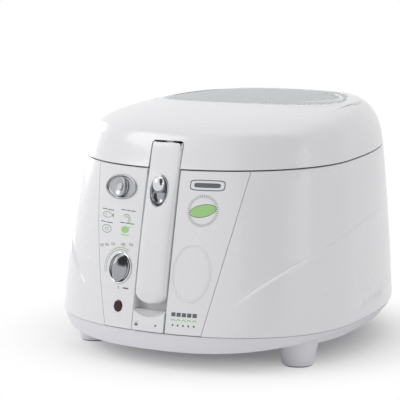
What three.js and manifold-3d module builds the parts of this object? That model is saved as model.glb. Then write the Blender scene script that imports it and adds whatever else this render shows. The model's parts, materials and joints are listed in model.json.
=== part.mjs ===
// A deep fryer with a tilted turning basket, in millimetres.
// Z is up and the feet stand on z = 0. The front, with the handle and the knobs, looks along -Y.
import * as THREE from 'three';
import { mergeVertices } from 'three/addons/utils/BufferGeometryUtils.js';
import Module from 'manifold-3d';

const wasm = await Module();
wasm.setup();

// ---------------------------------------------------------------- driving dimensions

const DEGREE = Math.PI / 180;
const clearance = 0.3; // between two pieces that meet
const roundSides = 32; // flats on the large round pieces

const casing = {
  outlineSides: 40,
  wall: 3.2,
  bottomHeight: 33.6,
  bottomHalfWidth: 143,
  bottomFront: -174.4,
  bottomBack: 174.4,
  bottomFrontPower: 2.253,
  seamFrontHeight: 174.5, // where the lid meets the body, at the front
  seamRise: 0.036, // how much the seam climbs for each millimetre towards the back
  seamHalfWidth: 130.5,
  seamFront: -144.5,
  seamBack: 160.6,
  seamFrontPower: 2.124,
  backPower: 2.396,
  widestShare: 0.353, // of the depth, from the front
  bulge: 1,
  seamGap: 1.2,
  rimWall: 4,
  deckDrop: 4, // from the seam down to the deck that carries the bowl
  deckThickness: 3.2,
};

const crease = {
  startHeight: 59,
  startAngle: 30.9, // degrees from the front, seen from above
  climb: 76,
  spread: 38,
  shoulder: 2.6,
  roundness: 2.5,
};

const panel = {
  bottomHalfWidth: 49.5,
  topHalfWidth: 79.3,
  fasciaThickness: 1.6,
  doorThickness: 2.4,
  edgeGap: 0.5,
};

const baseTray = {
  wall: 2.5,
  lipInset: 5,
  lipFrontHeight: 17.5,
  lipSideRise: 9.5,
  floorInset: 9,
  floorHeight: 22,
};

const foot = {
  topRadius: 18.7,
  bottomRadius: 14.3,
  frontOffset: 106.6,
  frontY: -93.5,
  backOffset: 72,
  backY: 108,
};

const lid = {
  wall: 2.5,
  rise: 56.2, // from the seam at the front up to the highest point
  apexY: 59.8,
  frontFall: 12.67,
  frontFallPower: 2.089,
  backFall: 20.8,
  backFallPower: 2.171,
  sideFall: 14.4,
  sideFallPower: 2.6,
  fallLength: 150,
  fallHalfWidth: 130,
  frontDraft: 0.138,
  sideDraft: 0.172,
  backDraft: 0.102,
  frontShoulder: [14.7, 13.9], // down the wall, and in along the top
  sideShoulder: [29.5, 28.3],
  backShoulder: [16.4, 17.1],
};

const bowl = {
  tilt: 12, // degrees, leaning forward
  innerRadius: 104,
  sheet: 1.2,
  depth: 104,
  cornerRadius: 14,
  rimCentreY: 8,
  flangeRadius: 116,
  flangeDrop: 2.5, // top of the flange below the seam
  towerRadius: 8.5,
  towerBore: 7,
  towerHeight: 56,
  drainRadius: 5.6,
  drainBore: 4.2,
  drainLength: 10,
  drainX: 30,
  drainY: -78,
};

const basket = {
  radius: 91,
  sheet: 1.2,
  bottom: 8,
  top: 69,
  hubRadius: 12,
  hubBore: 10.5,
  slotCount: 18,
  slotWidth: 6,
  slotMargin: 9,
  floorSlotInner: 22,
  floorSlotOuter: 80,
  pinRadius: 3.4,
  pinTop: 81,
};

const carrier = {
  ringRadius: 96,
  ringWidth: 3,
  ringHeight: 5,
  barWidth: 10,
  barHeight: 2.5,
  bossRadius: 8,
  bossHeight: 3.5,
  forkThickness: 2.6,
  forkGap: 3.5,
  slotHalfHeight: 3.5,
  slotFrame: 3,
};

const gearing = {
  module: 1,
  pressureAngle: 25,
  backlash: 0.3,
  wheelTeeth: 48,
  pinionTeeth: 12,
  faceWidth: 6,
  wheelTop: -12, // along the bowl's axis, below the bowl's bottom
  shaftRadius: 4,
  shaftTop: 57,
  shaftBottom: -28,
  dogRadius: 5.5,
  dogHeight: 5,
  bushRadius: 6.7,
  bushLength: 10,
};

const motor = {
  radius: 17,
  length: 24,
  shaftRadius: 1.6,
  bossRadius: 5,
  bossHeight: 1.6,
};

const motorBracket = {
  thickness: 2,
  halfWidth: 38,
  front: -27,
  back: 54,
  postRadius: 3.5,
  posts: [[-33, -20], [33, -20], [-24, 46], [24, 46]],
};

const heater = { ringRadius: 66, tubeRadius: 4, pinSpread: 9, pinLength: 12, pinRadius: 2.2 };

const handle = {
  topHalfWidth: 15.25,
  halfWidth: 16.5,
  depth: 11,
  wall: 2.2,
  bottomHeight: 25, // along the sloping front, above the casing's bottom edge
  endRound: 9,
  proud: [[25, 4.4], [50, 5.2], [75, 5.4], [99, 4.6], [124, 3], [146, 1.2], [168, 1.6]],
  crownSag: 2.6,
  sideGap: 0.8,
  backGap: 1,
  foldAngle: 90,
};

const handlePivotPlace = {
  behindFront: 8.5,
  aboveSeam: 16.7,
  belowTop: 6,
  pinRadius: 1.5,
  noseRadius: 3.4,
};

const slider = {
  centreHeight: 124, // along the sloping front
  recessHalfWidth: 9.2,
  recessHalfHeight: 13.5,
  recessDepth: 5,
  cupSheet: 0.8,
  buttonHalfWidth: 6.6,
  buttonHalfHeight: 8,
  buttonProud: 2.4,
  travel: 7,
};

const channel = { wall: 2.5 };

const releaseButton = {
  travel: 2.5,
  height: 19,
  sideGap: 0.9,
  dishDepth: 7,
  dishRadius: 22,
  tailLow: 4,
  tailHigh: 11,
  tailThickness: 2.5,
};

const latch = {
  x: -22.6,
  thickness: 4.4,
  depth: 16.8, // from the sloping front
  width: 4,
  bottomHeight: 4,
  pivotHeight: 80,
  pinRadius: 1.5,
  pinHead: 3,
  topHeight: 149,
  hookHeight: 5,
  hookReach: 4,
  catchGap: 0.5,
};

const lift = {
  behindHandle: 25, // from the handle's pivot back to the arm's
  belowHandle: 8.5,
  ratio: 0.5, // of the handle's turn
  armY: 30,
  armZ: -20,
  armHeight: 5,
  armWidth: 5,
  endPinRadius: 2,
  hubRadius: 5,
  handleTeeth: 16, // of a full turn
  quadrantWidth: 6,
  cheekThickness: 2.5,
};

const hinge = {
  insideBack: 3.6, // from the seam's back to the axis
  aboveSeam: 11.65,
  x: 30,
  earWidth: 14,
  earRadius: 4,
  armLength: 20,
  baseBack: 11, // from the axis forward to the base's back edge
  knuckleWidth: 7,
  pinRadius: 1.5,
};

const liner = {
  sheet: 1.2,
  flangeHeight: 2, // above the seam
  flangeOverhang: 2, // past the bowl's flange
  wallRadius: 100,
  top: 24,
  notchHalfWidth: 14,
  notchDepth: 12,
  holeCount: 12,
  holeRadius: 3,
  holeRing: 62,
  screwTurns: [338, 202], // degrees from the right
};

const gasket = { width: 6, edgeInset: 2 }; // inside the bowl's flange

const filter = {
  halfWidth: 100,
  front: -45,
  back: 116,
  power: 2.4,
  thickness: 1.9,
  prismDepth: 30,
  ledge: 5,
  padThickness: 9,
  holeRadius: 4.6,
  holePitch: 32,
  holeMargin: 12,
};

const timer = {
  x: -46,
  z: 155.5,
  bezelHalfWidth: 19,
  bezelHalfHeight: 12,
  knobRadius: 9.5,
  unitRadius: 13,
  unitDepth: 26,
};
const thermostat = {
  x: -37,
  z: 86,
  bezelHalfWidth: 13.4,
  bezelHalfHeight: 15.6,
  knobRadius: 11,
  unitRadius: 8.4,
  unitDepth: 18,
};
const knob = { grip: 7, shaftRadius: 3, skirt: 3.5, barWidth: 5, bezelDepth: 2 };
const lamp = {
  x: -34.8,
  z: 52.6,
  halfWidth: 4.6,
  halfHeight: 5.2,
  proud: 1,
  holderRadius: 6.5,
  holderDepth: 14,
};

const hoseBox = { wall: 1.6, depth: 30, left: 3, bottomHeight: 5, topHeight: 112, edgeInset: 5 };
const hose = {
  radius: 8.6,
  bore: 7.3,
  overlapTop: 6.5,
  x: 32,
  depth: 18, // behind the sloping front
  top: 88,
  capRadius: 10,
  capHeight: 9,
};
const doorPeg = { radius: 2.4, length: 9, z: 154, left: 27, right: 62 };
const screw = { headRadius: 3.4, headHeight: 2, shaftRadius: 1.6, length: 12 };
const baseBoss = { radius: 6, sideOffset: 119, frontY: -58, backY: 40, top: 60, web: 3 };
const thermalCutout = { radius: 8, height: 9, x: -76, y: 30 };
const thermostatBulb = { radius: 3, length: 50, x: 76 };
const inlet = {
  x: 70,
  z: 55,
  radius: 7,
  bore: 4,
  flange: 10,
  flangeThickness: 2,
  flangeGap: 0.6,
  length: 12,
};

// ---------------------------------------------------------------- small geometry tools

function facingOut(geometry) {
  const plain = geometry.index ? geometry.toNonIndexed() : geometry.clone();
  plain.deleteAttribute('normal');
  plain.deleteAttribute('uv');
  const merged = mergeVertices(plain, 1e-4);
  const point = merged.getAttribute('position');
  const index = merged.index.array;
  const corner = [new THREE.Vector3(), new THREE.Vector3(), new THREE.Vector3()];
  const kept = [];
  let volume = 0;
  for (let i = 0; i < index.length; i += 3) {
    const [a, b, c] = [index[i], index[i + 1], index[i + 2]];
    if (a === b || b === c || c === a) continue;
    corner[0].fromBufferAttribute(point, a);
    corner[1].fromBufferAttribute(point, b);
    corner[2].fromBufferAttribute(point, c);
    volume += corner[0].dot(corner[1].cross(corner[2]));
    kept.push(a, b, c);
  }
  if (volume < 0) kept.reverse();
  merged.setIndex(kept);
  return merged;
}

function solid(geometry) {
  const closed = facingOut(geometry);
  const vertProperties = new Float32Array(closed.getAttribute('position').array);
  const triVerts = new Uint32Array(closed.index.array);
  return new wasm.Manifold(new wasm.Mesh({ numProp: 3, vertProperties, triVerts }));
}

function joined(first, ...rest) {
  return rest.reduce((sum, geometry) => sum.add(solid(geometry)), solid(first));
}

function geometryOf(manifold) {
  const mesh = manifold.getMesh();
  const geometry = new THREE.BufferGeometry();
  geometry.setAttribute('position', new THREE.BufferAttribute(mesh.vertProperties, 3));
  geometry.setIndex(new THREE.BufferAttribute(mesh.triVerts, 1));
  return geometry;
}

function moved(geometry, x, y, z) {
  return geometry.clone().translate(x, y, z);
}

function block(x0, x1, y0, y1, z0, z1) {
  const box = new THREE.BoxGeometry(x1 - x0, y1 - y0, z1 - z0);
  return box.translate((x0 + x1) / 2, (y0 + y1) / 2, (z0 + z1) / 2);
}

function shapeOf(points) {
  return new THREE.Shape(points.map(([x, y]) => new THREE.Vector2(x, y)));
}

function prismZ(points, z0, z1, holes = []) {
  const shape = shapeOf(points);
  shape.holes = holes.map(shapeOf);
  return new THREE.ExtrudeGeometry(shape, { depth: z1 - z0, bevelEnabled: false }).translate(0, 0, z0);
}

// points are [y, z], pushed along X
function prismX(points, x0, x1) {
  const turn = new THREE.Matrix4().makeBasis(
    new THREE.Vector3(0, 1, 0),
    new THREE.Vector3(0, 0, 1),
    new THREE.Vector3(1, 0, 0),
  );
  return prismZ(points, x0, x1).applyMatrix4(turn);
}

// points are [x, z], pushed along Y
function prismY(points, y0, y1) {
  const turn = new THREE.Matrix4().makeBasis(
    new THREE.Vector3(1, 0, 0),
    new THREE.Vector3(0, 0, 1),
    new THREE.Vector3(0, -1, 0),
  );
  return prismZ(points, -y1, -y0).applyMatrix4(turn);
}

function rodZ(radius, z0, z1, sides = 18, topRadius = radius) {
  const rod = new THREE.CylinderGeometry(topRadius, radius, z1 - z0, sides);
  return rod.rotateX(Math.PI / 2).translate(0, 0, (z0 + z1) / 2);
}

function rodX(radius, x0, x1, y, z, sides = 14) {
  const rod = new THREE.CylinderGeometry(radius, radius, x1 - x0, sides);
  return rod.rotateZ(Math.PI / 2).translate((x0 + x1) / 2, y, z);
}

function revolve(profile, sides = 28) {
  const points = profile.map(([radius, height]) => new THREE.Vector2(radius, height));
  points.push(points[0].clone());
  return new THREE.LatheGeometry(points, sides).rotateX(Math.PI / 2);
}

function ellipse(halfWidth, halfHeight, sides = 24, x = 0, y = 0) {
  return Array.from({ length: sides }, (_, i) => {
    const angle = (2 * Math.PI * i) / sides;
    return [x + halfWidth * Math.cos(angle), y + halfHeight * Math.sin(angle)];
  });
}

// A closed body through rings of equally many points, each ring seen anticlockwise from the far end.
function loft(rings) {
  const count = rings[0].length;
  const middle = (ring) => ring
    .reduce((sum, point) => sum.add(point), new THREE.Vector3())
    .divideScalar(ring.length);
  const points = [...rings.flat(), middle(rings[0]), middle(rings[rings.length - 1])];
  const index = [];
  const start = points.length - 2;
  for (let j = 0; j < count; j += 1) {
    const next = (j + 1) % count;
    index.push(start, next, j);
    const top = (rings.length - 1) * count;
    index.push(start + 1, top + j, top + next);
    for (let i = 0; i + 1 < rings.length; i += 1) {
      const low = i * count;
      const high = low + count;
      index.push(low + j, low + next, high + next, low + j, high + next, high + j);
    }
  }
  const geometry = new THREE.BufferGeometry();
  geometry.setFromPoints(points);
  geometry.setIndex(index);
  return geometry;
}

function mix(a, b, share) {
  return a + (b - a) * share;
}

function smooth(edge0, edge1, value) {
  const share = Math.min(1, Math.max(0, (value - edge0) / (edge1 - edge0)));
  return share * share * (3 - 2 * share);
}

function alongTable(table, at) {
  const last = table.length - 1;
  const i = Math.min(last - 1, Math.max(0, table.findIndex(([place]) => place > at) - 1));
  const first = at >= table[last][0] ? last - 1 : i;
  const [[a, from], [b, to]] = [table[first], table[first + 1]];
  return mix(from, to, Math.min(1, Math.max(0, (at - a) / (b - a))));
}

// ---------------------------------------------------------------- the casing's form

function seamHeight(y) {
  return casing.seamFrontHeight + casing.seamRise * (y - casing.seamFront);
}

const handlePivot = {
  ...handlePivotPlace,
  y: casing.seamFront + handlePivotPlace.behindFront,
  z: seamHeight(casing.seamFront + handlePivotPlace.behindFront) + handlePivotPlace.aboveSeam,
};
const liftPivot = { y: handlePivot.y + lift.behindHandle, z: handlePivot.z - lift.belowHandle };
const hingeY = casing.seamBack - hinge.insideBack;
const hingeZ = seamHeight(hingeY) + hinge.aboveSeam;
const lidTopHeight = casing.seamFrontHeight + lid.rise;

function superellipse(form, turn) {
  const across = Math.cos(turn);
  const along = Math.sin(turn);
  const power = along < 0 ? form.frontPower : form.backPower;
  const reach = along < 0 ? form.middle - form.front : form.back - form.middle;
  return [
    form.halfWidth * Math.sign(across) * Math.abs(across) ** (2 / power),
    form.middle + reach * Math.sign(along) * Math.abs(along) ** (2 / power),
  ];
}

// level 0 is the casing's bottom edge and level 1 is the seam; inset moves the outline inwards
function casingForm(level, inset) {
  const swell = 4 * casing.bulge * level * (1 - level) - inset;
  const front = mix(casing.bottomFront, casing.seamFront, level);
  const back = mix(casing.bottomBack, casing.seamBack, level);
  return {
    halfWidth: mix(casing.bottomHalfWidth, casing.seamHalfWidth, level) + swell,
    front: front - swell,
    back: back + swell,
    middle: mix(front, back, casing.widestShare),
    frontPower: mix(casing.bottomFrontPower, casing.seamFrontPower, level),
    backPower: casing.backPower,
  };
}

function levelAt(y, z) {
  return (z - casing.bottomHeight) / (seamHeight(y) - casing.bottomHeight);
}

function creaseHeight(x, y) {
  const widest = mix(casing.seamFront, casing.seamBack, casing.widestShare);
  const fromFront = Math.abs(Math.atan2(x, widest - y)) / DEGREE;
  const climbed = 1 - Math.exp(-(fromFront - crease.startAngle) / crease.spread);
  const lowest = casing.bottomHeight + 3 * crease.roundness;
  return {
    height: Math.max(lowest, crease.startHeight + crease.climb * climbed),
    strength: smooth(20, 44, fromFront) * (1 - smooth(85, 130, fromFront)),
  };
}

function casingRing(heightOf, inset, swellOf = () => 0) {
  return Array.from({ length: casing.outlineSides }, (_, i) => {
    const turn = (2 * Math.PI * i) / casing.outlineSides;
    let level = 0.5;
    let place = [0, 0];
    for (let pass = 0; pass < 6; pass += 1) {
      place = superellipse(casingForm(level, inset - swellOf(...place)), turn);
      level = levelAt(place[1], heightOf(...place));
    }
    return new THREE.Vector3(place[0], place[1], heightOf(...place));
  });
}

// The casing's body from its bottom edge to `below` under the seam, with the crease on its flanks.
function casingBody(inset, below, bottom = casing.bottomHeight) {
  const shoulder = (x, y) => crease.shoulder * creaseHeight(x, y).strength;
  const top = (x, y) => seamHeight(y) - below;
  const over = (x, y) => creaseHeight(x, y).height + crease.roundness;
  const under = (x, y) => creaseHeight(x, y).height - crease.roundness;
  const lowest = casingRing(() => bottom, inset);
  const middle = casingRing((x, y) => mix(bottom, top(x, y), 0.5), inset);
  if (inset > 1) return loft([lowest, middle, casingRing(top, inset)]);
  return loft([
    lowest,
    casingRing((x, y) => mix(bottom, under(x, y), 0.5), inset, (x, y) => shoulder(x, y) / 2),
    casingRing(under, inset, shoulder),
    casingRing(over, inset),
    casingRing((x, y) => mix(over(x, y), top(x, y), 0.5), inset),
    casingRing(top, inset),
  ]);
}

function seamSlab(inset, low, high) {
  const atSeam = (height) => Array.from({ length: casing.outlineSides }, (_, i) => {
    const [x, y] = superellipse(casingForm(1, inset), (2 * Math.PI * i) / casing.outlineSides);
    return new THREE.Vector3(x, y, seamHeight(y) + height);
  });
  return loft([atSeam(low), atSeam(high)]);
}

// the casing's outer surface at a place on the front (side -1) or on the back (side 1)
function surfaceY(x, z, side = -1) {
  let y = side < 0 ? casing.seamFront : casing.seamBack;
  for (let pass = 0; pass < 8; pass += 1) {
    const form = casingForm(levelAt(y, z), 0);
    const power = side < 0 ? form.frontPower : form.backPower;
    const reach = side < 0 ? form.middle - form.front : form.back - form.middle;
    y = form.middle + side * reach * (1 - Math.abs(x / form.halfWidth) ** power) ** (1 / power);
  }
  return y;
}

// ---------------------------------------------------------------- frames that pieces are built in

function frameAt(x, y, z, turnX = 0) {
  const frame = new THREE.Group();
  frame.position.set(x, y, z);
  frame.rotation.x = turnX;
  frame.updateMatrixWorld(true);
  return frame;
}

const frontLean = Math.atan2(
  casing.seamFront - casing.bottomFront,
  casing.seamFrontHeight - casing.bottomHeight,
);
// On the sloping front: X across, Y inwards, Z up along the slope from the casing's bottom edge.
const face = frameAt(0, casing.bottomFront, casing.bottomHeight, -frontLean);
// On the seam: Z = 0 is the seam, and X = Y = 0 is the middle of the bowl's rim.
const seam = frameAt(0, bowl.rimCentreY, seamHeight(bowl.rimCentreY), Math.atan(casing.seamRise));
// On the bowl: Z = 0 is the underside of its bottom, and Z is its tilted axis.
const tilt = bowl.tilt * DEGREE;
const bowlY = bowl.rimCentreY + bowl.depth * Math.sin(tilt);
const bowlZ = seamHeight(bowl.rimCentreY) - bowl.flangeDrop - bowl.depth * Math.cos(tilt);
const well = frameAt(0, bowlY, bowlZ, tilt);
const world = new THREE.Group();

function inWorld(geometry, frame) {
  return geometry.clone().applyMatrix4(frame.matrixWorld);
}

function localTo(frame, y, z) {
  return frame.worldToLocal(new THREE.Vector3(0, y, z));
}

// X across, Y up the surface and Z out of it, at a place on the front (side -1) or on the back (side 1)
function surfaceFrame(x, z, side = -1) {
  const step = 1;
  const slopeX = (surfaceY(x + step, z, side) - surfaceY(x - step, z, side)) / (2 * step);
  const slopeZ = (surfaceY(x, z + step, side) - surfaceY(x, z - step, side)) / (2 * step);
  const outward = new THREE.Vector3(-slopeX, 1, -slopeZ).multiplyScalar(side).normalize();
  const across = new THREE.Vector3(1, slopeX, 0).multiplyScalar(-side).normalize();
  const frame = new THREE.Group();
  frame.quaternion.setFromRotationMatrix(
    new THREE.Matrix4().makeBasis(across, outward.clone().cross(across), outward),
  );
  frame.position.set(x, surfaceY(x, z, side), z);
  frame.updateMatrixWorld(true);
  return frame;
}

const timerFrame = surfaceFrame(timer.x, timer.z);
const thermostatFrame = surfaceFrame(thermostat.x, thermostat.z);
const lampFrame = surfaceFrame(lamp.x, lamp.z);
const inletFrame = surfaceFrame(inlet.x, inlet.z, 1);
const fryer = new THREE.Group();
fryer.add(world, face, seam, well, timerFrame, thermostatFrame, lampFrame, inletFrame);

// ---------------------------------------------------------------- finishes

function finish(color, roughness, metalness = 0) {
  return () => new THREE.MeshStandardMaterial({ color, roughness, metalness });
}

const whitePlastic = finish(0xe4e4e6, 0.25);
const greyPlastic = finish(0xcbcbd1, 0.4);
const footPlastic = finish(0xb9b9be, 0.45);
const silverPlastic = finish(0xb4b6ba, 0.3, 0.6);
const chrome = finish(0xc8cacc, 0.12, 1);
const steel = finish(0xa8aaad, 0.35, 1);
const darkCoating = finish(0x2b2c2e, 0.5);
const rubber = finish(0x3a3a3c, 0.8);
const sealRubber = finish(0x8c8e90, 0.7);
const redLens = finish(0x5a1416, 0.2);
const charcoal = finish(0x26272a, 0.95);
const innerPlastic = finish(0xd8d8d4, 0.5);
const blackPlastic = finish(0x2a2a2c, 0.5);
const brass = finish(0xb08d4a, 0.35, 1);

function add(name, geometry, makeFinish, frame = world) {
  const mesh = new THREE.Mesh(facingOut(geometry), makeFinish());
  mesh.name = name;
  frame.add(mesh);
}

// ---------------------------------------------------------------- derived places

const channelHalf = handle.halfWidth + handle.sideGap;
const channelBack = handle.depth + handle.backGap;
const housingHalf = channelHalf + channel.wall;
const pivotLocal = localTo(face, handlePivot.y, handlePivot.z);
const handleTop = pivotLocal.z + handlePivot.belowTop;
const cheekOuter = handle.topHalfWidth - handle.wall - clearance;
const cheekInner = cheekOuter - lift.cheekThickness;
const hubHalf = cheekInner - clearance;
const bowlOuter = bowl.innerRadius + bowl.sheet;
const flangeTop = -bowl.flangeDrop;
const deckTop = -casing.deckDrop;
const pinHole = (radius) => radius + clearance;
const past = 40; // how far a cutter runs past what it cuts

function panelHalf(z) {
  const share = (z - casing.bottomHeight) / (casing.seamFrontHeight - casing.bottomHeight);
  return mix(panel.bottomHalfWidth, panel.topHalfWidth, share);
}

// A slanted front panel: side is -1 for the left one, and shrink is taken off all its edges but the top.
function panelPrism(side, shrink) {
  const low = casing.bottomHeight + shrink;
  const high = casing.seamFrontHeight + past;
  const inner = channelHalf + shrink;
  const [outerLow, outerHigh] = [panelHalf(low) - shrink, panelHalf(high) - shrink];
  const corners = [[inner, low], [outerLow, low], [outerHigh, high], [inner, high]];
  const points = corners.map(([x, z]) => [side * x, z]);
  return prismY(side < 0 ? points.reverse() : points, casing.bottomFront - past, bowl.rimCentreY);
}

// ---------------------------------------------------------------- the body shell

function channelVoid(gap) {
  const half = channelHalf - gap;
  return inWorld(block(-half, half, -past, channelBack - gap, gap, past + handleTop), face);
}

function hoseBoxOutline(grow) {
  const left = housingHalf + clearance - grow;
  const low = hoseBox.bottomHeight - grow;
  const high = hoseBox.topHeight + grow;
  const right = (height) => {
    return panelHalf(casing.bottomHeight + height * Math.cos(frontLean)) - hoseBox.edgeInset + grow;
  };
  return [[left, low], [right(low), low], [right(high), high], [left, high]];
}

function knobOpening(control, frame, grow) {
  const oval = ellipse(control.bezelHalfWidth + grow, control.bezelHalfHeight + grow);
  return solid(inWorld(prismZ(oval, -past / 2, past / 2), frame));
}

function makeBodyShell() {
  const outer = solid(casingBody(0, casing.seamGap / 2));
  const underside = casing.deckDrop + casing.deckThickness;
  const cavity = solid(casingBody(casing.wall, underside, casing.bottomHeight - 1));
  const underDeck = solid(casingBody(1, casing.deckDrop + casing.deckThickness / 2));
  let shell = outer.subtract(cavity);
  const housing = solid(inWorld(
    block(-housingHalf, housingHalf, -past, channelBack + channel.wall, 0, past + handleTop),
    face,
  ));
  shell = shell.add(housing.intersect(underDeck));
  const backing = solid(casingBody(1, casing.deckDrop + 1))
    .subtract(solid(casingBody(panel.doorThickness + clearance + 2, 1, casing.bottomHeight - 1)));
  shell = shell.add(backing.intersect(solid(panelPrism(1, 0.1))));
  const peg = rodZ(screw.shaftRadius, baseTray.floorHeight, casing.bottomHeight, 10);
  const screwHole = rodZ(pinHole(screw.shaftRadius), 0, casing.bottomHeight + 6, 10);
  for (const side of [-1, 1]) {
    for (const y of [baseBoss.frontY, baseBoss.backY]) {
      const x = side * baseBoss.sideOffset;
      const boss = solid(moved(rodZ(baseBoss.radius, casing.bottomHeight - 8, baseBoss.top), x, y, 0));
      const web = solid(block(
        Math.min(x, side * casing.bottomHalfWidth),
        Math.max(x, side * casing.bottomHalfWidth),
        y - baseBoss.web / 2,
        y + baseBoss.web / 2,
        casing.bottomHeight + 2,
        baseBoss.top,
      ));
      shell = shell.add(boss).add(web.intersect(underDeck));
      shell = y === baseBoss.frontY
        ? shell.add(solid(moved(peg, x, y, 0)))
        : shell.subtract(solid(moved(screwHole, x, y, 0)));
    }
  }
  shell = shell.subtract(solid(seamSlab(casing.rimWall, deckTop, past)));
  const bowlRoom = rodZ(bowlOuter + 2 * clearance, 0, 2 * bowl.depth, roundSides);
  shell = shell.subtract(solid(inWorld(bowlRoom, well)));
  shell = shell.subtract(solid(channelVoid(0)));
  const fasciaRecess = solid(casingBody(-3, -3)).subtract(solid(casingBody(
    panel.fasciaThickness + clearance,
    -past,
    casing.bottomHeight - past,
  )));
  shell = shell.subtract(fasciaRecess.intersect(solid(panelPrism(-1, 0))));
  const doorRecess = solid(casingBody(-3, -3)).subtract(solid(casingBody(
    panel.doorThickness + clearance,
    -past,
    casing.bottomHeight - past,
  )));
  shell = shell.subtract(doorRecess.intersect(solid(panelPrism(1, 0))));
  shell = shell.subtract(solid(inWorld(prismY(hoseBoxOutline(clearance), -past, past), face)));
  shell = shell.subtract(knobOpening(timer, timerFrame, clearance));
  shell = shell.subtract(knobOpening(thermostat, thermostatFrame, clearance));
  shell = shell.subtract(lampOpening(clearance));
  shell = shell.subtract(solid(inWorld(latchWindow(), face)));
  shell = shell.subtract(solid(inWorld(buttonTailWindow(), face)));
  shell = shell.subtract(solid(inWorld(rodZ(pinHole(inlet.radius), -past, past), inletFrame)));
  return doorPegs(clearance).reduce((rest, peg) => rest.subtract(solid(peg)), shell);
}

function latchWindow() {
  const half = latch.thickness / 2 + 1;
  return block(
    latch.x - half,
    latch.x + half,
    latch.depth - 5,
    latch.depth + latch.width + latch.hookReach + 2,
    latch.topHeight - 20,
    latch.topHeight + 30,
  );
}

// how far the release button reaches in, so that it can be pressed before it meets the channel's back
const buttonBack = channelBack - releaseButton.travel - 2 * clearance;
const tailFront = buttonBack - releaseButton.tailThickness;

function buttonTailWindow() {
  return block(
    -housingHalf - 1,
    -channelHalf + 1,
    tailFront - 1,
    channelBack,
    releaseButton.tailLow - 1,
    releaseButton.tailHigh + 1,
  );
}

// ---------------------------------------------------------------- panels on the front

// straight pegs on the door's back; they pull out of the body along -Y
function doorPegs(grow) {
  return [doorPeg.left, doorPeg.right].map((x) => {
    const start = surfaceY(x, doorPeg.z) + panel.doorThickness / 2;
    const length = doorPeg.length + grow;
    const rod = new THREE.CylinderGeometry(doorPeg.radius + grow, doorPeg.radius + grow, length, 16);
    return moved(rod, x, start + length / 2, doorPeg.z);
  });
}

function panelPlate(side, thickness) {
  const bottom = casing.bottomHeight;
  const plate = solid(casingBody(0, casing.seamGap / 2))
    .subtract(solid(casingBody(thickness, -past, bottom - past)));
  return plate.intersect(solid(panelPrism(side, panel.edgeGap)));
}

function lampOpening(grow) {
  const oval = ellipse(lamp.halfWidth + grow, lamp.halfHeight + grow);
  return solid(inWorld(prismZ(oval, -past / 4, past / 4), lampFrame));
}

function makeFascia() {
  return panelPlate(-1, panel.fasciaThickness)
    .subtract(knobOpening(timer, timerFrame, clearance))
    .subtract(knobOpening(thermostat, thermostatFrame, clearance))
    .subtract(lampOpening(clearance));
}

function makeDrainDoor() {
  return doorPegs(0).reduce((door, peg) => door.add(solid(peg)), panelPlate(1, panel.doorThickness));
}

function addFrontPanels() {
  add('body_shell', geometryOf(makeBodyShell()), whitePlastic);
  add('control_fascia', geometryOf(makeFascia()), whitePlastic);
  add('drain_compartment_door', geometryOf(makeDrainDoor()), whitePlastic);
}

// ---------------------------------------------------------------- knobs and lamp

function addControl(name, control, frame) {
  const bezelBack = -casing.wall - 1;
  const bezelFront = 0.8;
  const dish = ellipse(control.bezelHalfWidth - knob.bezelDepth, control.bezelHalfHeight - knob.bezelDepth);
  const bezelOutline = ellipse(control.bezelHalfWidth, control.bezelHalfHeight);
  const bezel = solid(prismZ(bezelOutline, bezelBack, bezelFront))
    .subtract(solid(prismZ(dish, bezelFront - knob.bezelDepth, past)))
    .subtract(solid(rodZ(pinHole(knob.shaftRadius), -past, past)));
  const knobBack = bezelFront - knob.bezelDepth + clearance;
  const skirtTop = knobBack + knob.skirt;
  const barOutline = ellipse(knob.barWidth, control.knobRadius - 1, 24);
  const grip = solid(rodZ(control.knobRadius, knobBack, skirtTop, 36))
    .add(solid(prismZ(barOutline, skirtTop - 1, skirtTop + knob.grip)))
    .subtract(solid(rodZ(pinHole(knob.shaftRadius), -past, skirtTop)));
  const unitTop = bezelBack - clearance;
  const unit = solid(rodZ(control.unitRadius, unitTop - control.unitDepth, unitTop))
    .subtract(solid(rodZ(pinHole(knob.shaftRadius), unitTop - control.unitDepth / 2, past)));
  add(`${name}_bezel`, geometryOf(bezel), chrome, frame);
  add(`${name}_knob`, geometryOf(grip), silverPlastic, frame);
  const shaftBottom = unitTop - control.unitDepth / 2 + clearance;
  add(`${name}_shaft`, rodZ(knob.shaftRadius, shaftBottom, skirtTop - clearance), steel, frame);
  add(`${name}_unit`, geometryOf(unit), blackPlastic, frame);
}

function addLamp() {
  const holderTop = -casing.wall - clearance;
  const lens = solid(prismZ(ellipse(lamp.halfWidth, lamp.halfHeight), holderTop, lamp.proud));
  const holder = solid(rodZ(lamp.holderRadius, holderTop - lamp.holderDepth, holderTop - clearance));
  add('indicator_lens', geometryOf(lens), redLens, lampFrame);
  add('indicator_lamp_holder', geometryOf(holder), blackPlastic, lampFrame);
}

// ---------------------------------------------------------------- oil drain compartment

function makeHoseBox() {
  const inside = solid(casingBody(panel.doorThickness + 2 * clearance, -past, casing.bottomHeight - past));
  const outerBox = solid(inWorld(prismY(hoseBoxOutline(0), -past, hoseBox.depth), face));
  const hollowBack = hoseBox.depth - hoseBox.wall;
  const hollow = solid(inWorld(prismY(hoseBoxOutline(-hoseBox.wall), -past, hollowBack), face));
  const reach = hose.radius + clearance;
  const hole = inWorld(block(
    hose.x - reach,
    hose.x + reach,
    hose.depth - reach,
    past,
    -past,
    hoseBox.bottomHeight + 2 * hose.radius,
  ), face);
  return outerBox.subtract(hollow).intersect(inside).subtract(solid(hole));
}

const hoseFrame = (() => {
  const frame = new THREE.Group();
  frame.position.set(hose.x, hose.depth, 0);
  face.add(frame);
  frame.updateWorldMatrix(true, false);
  return frame;
})();

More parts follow.
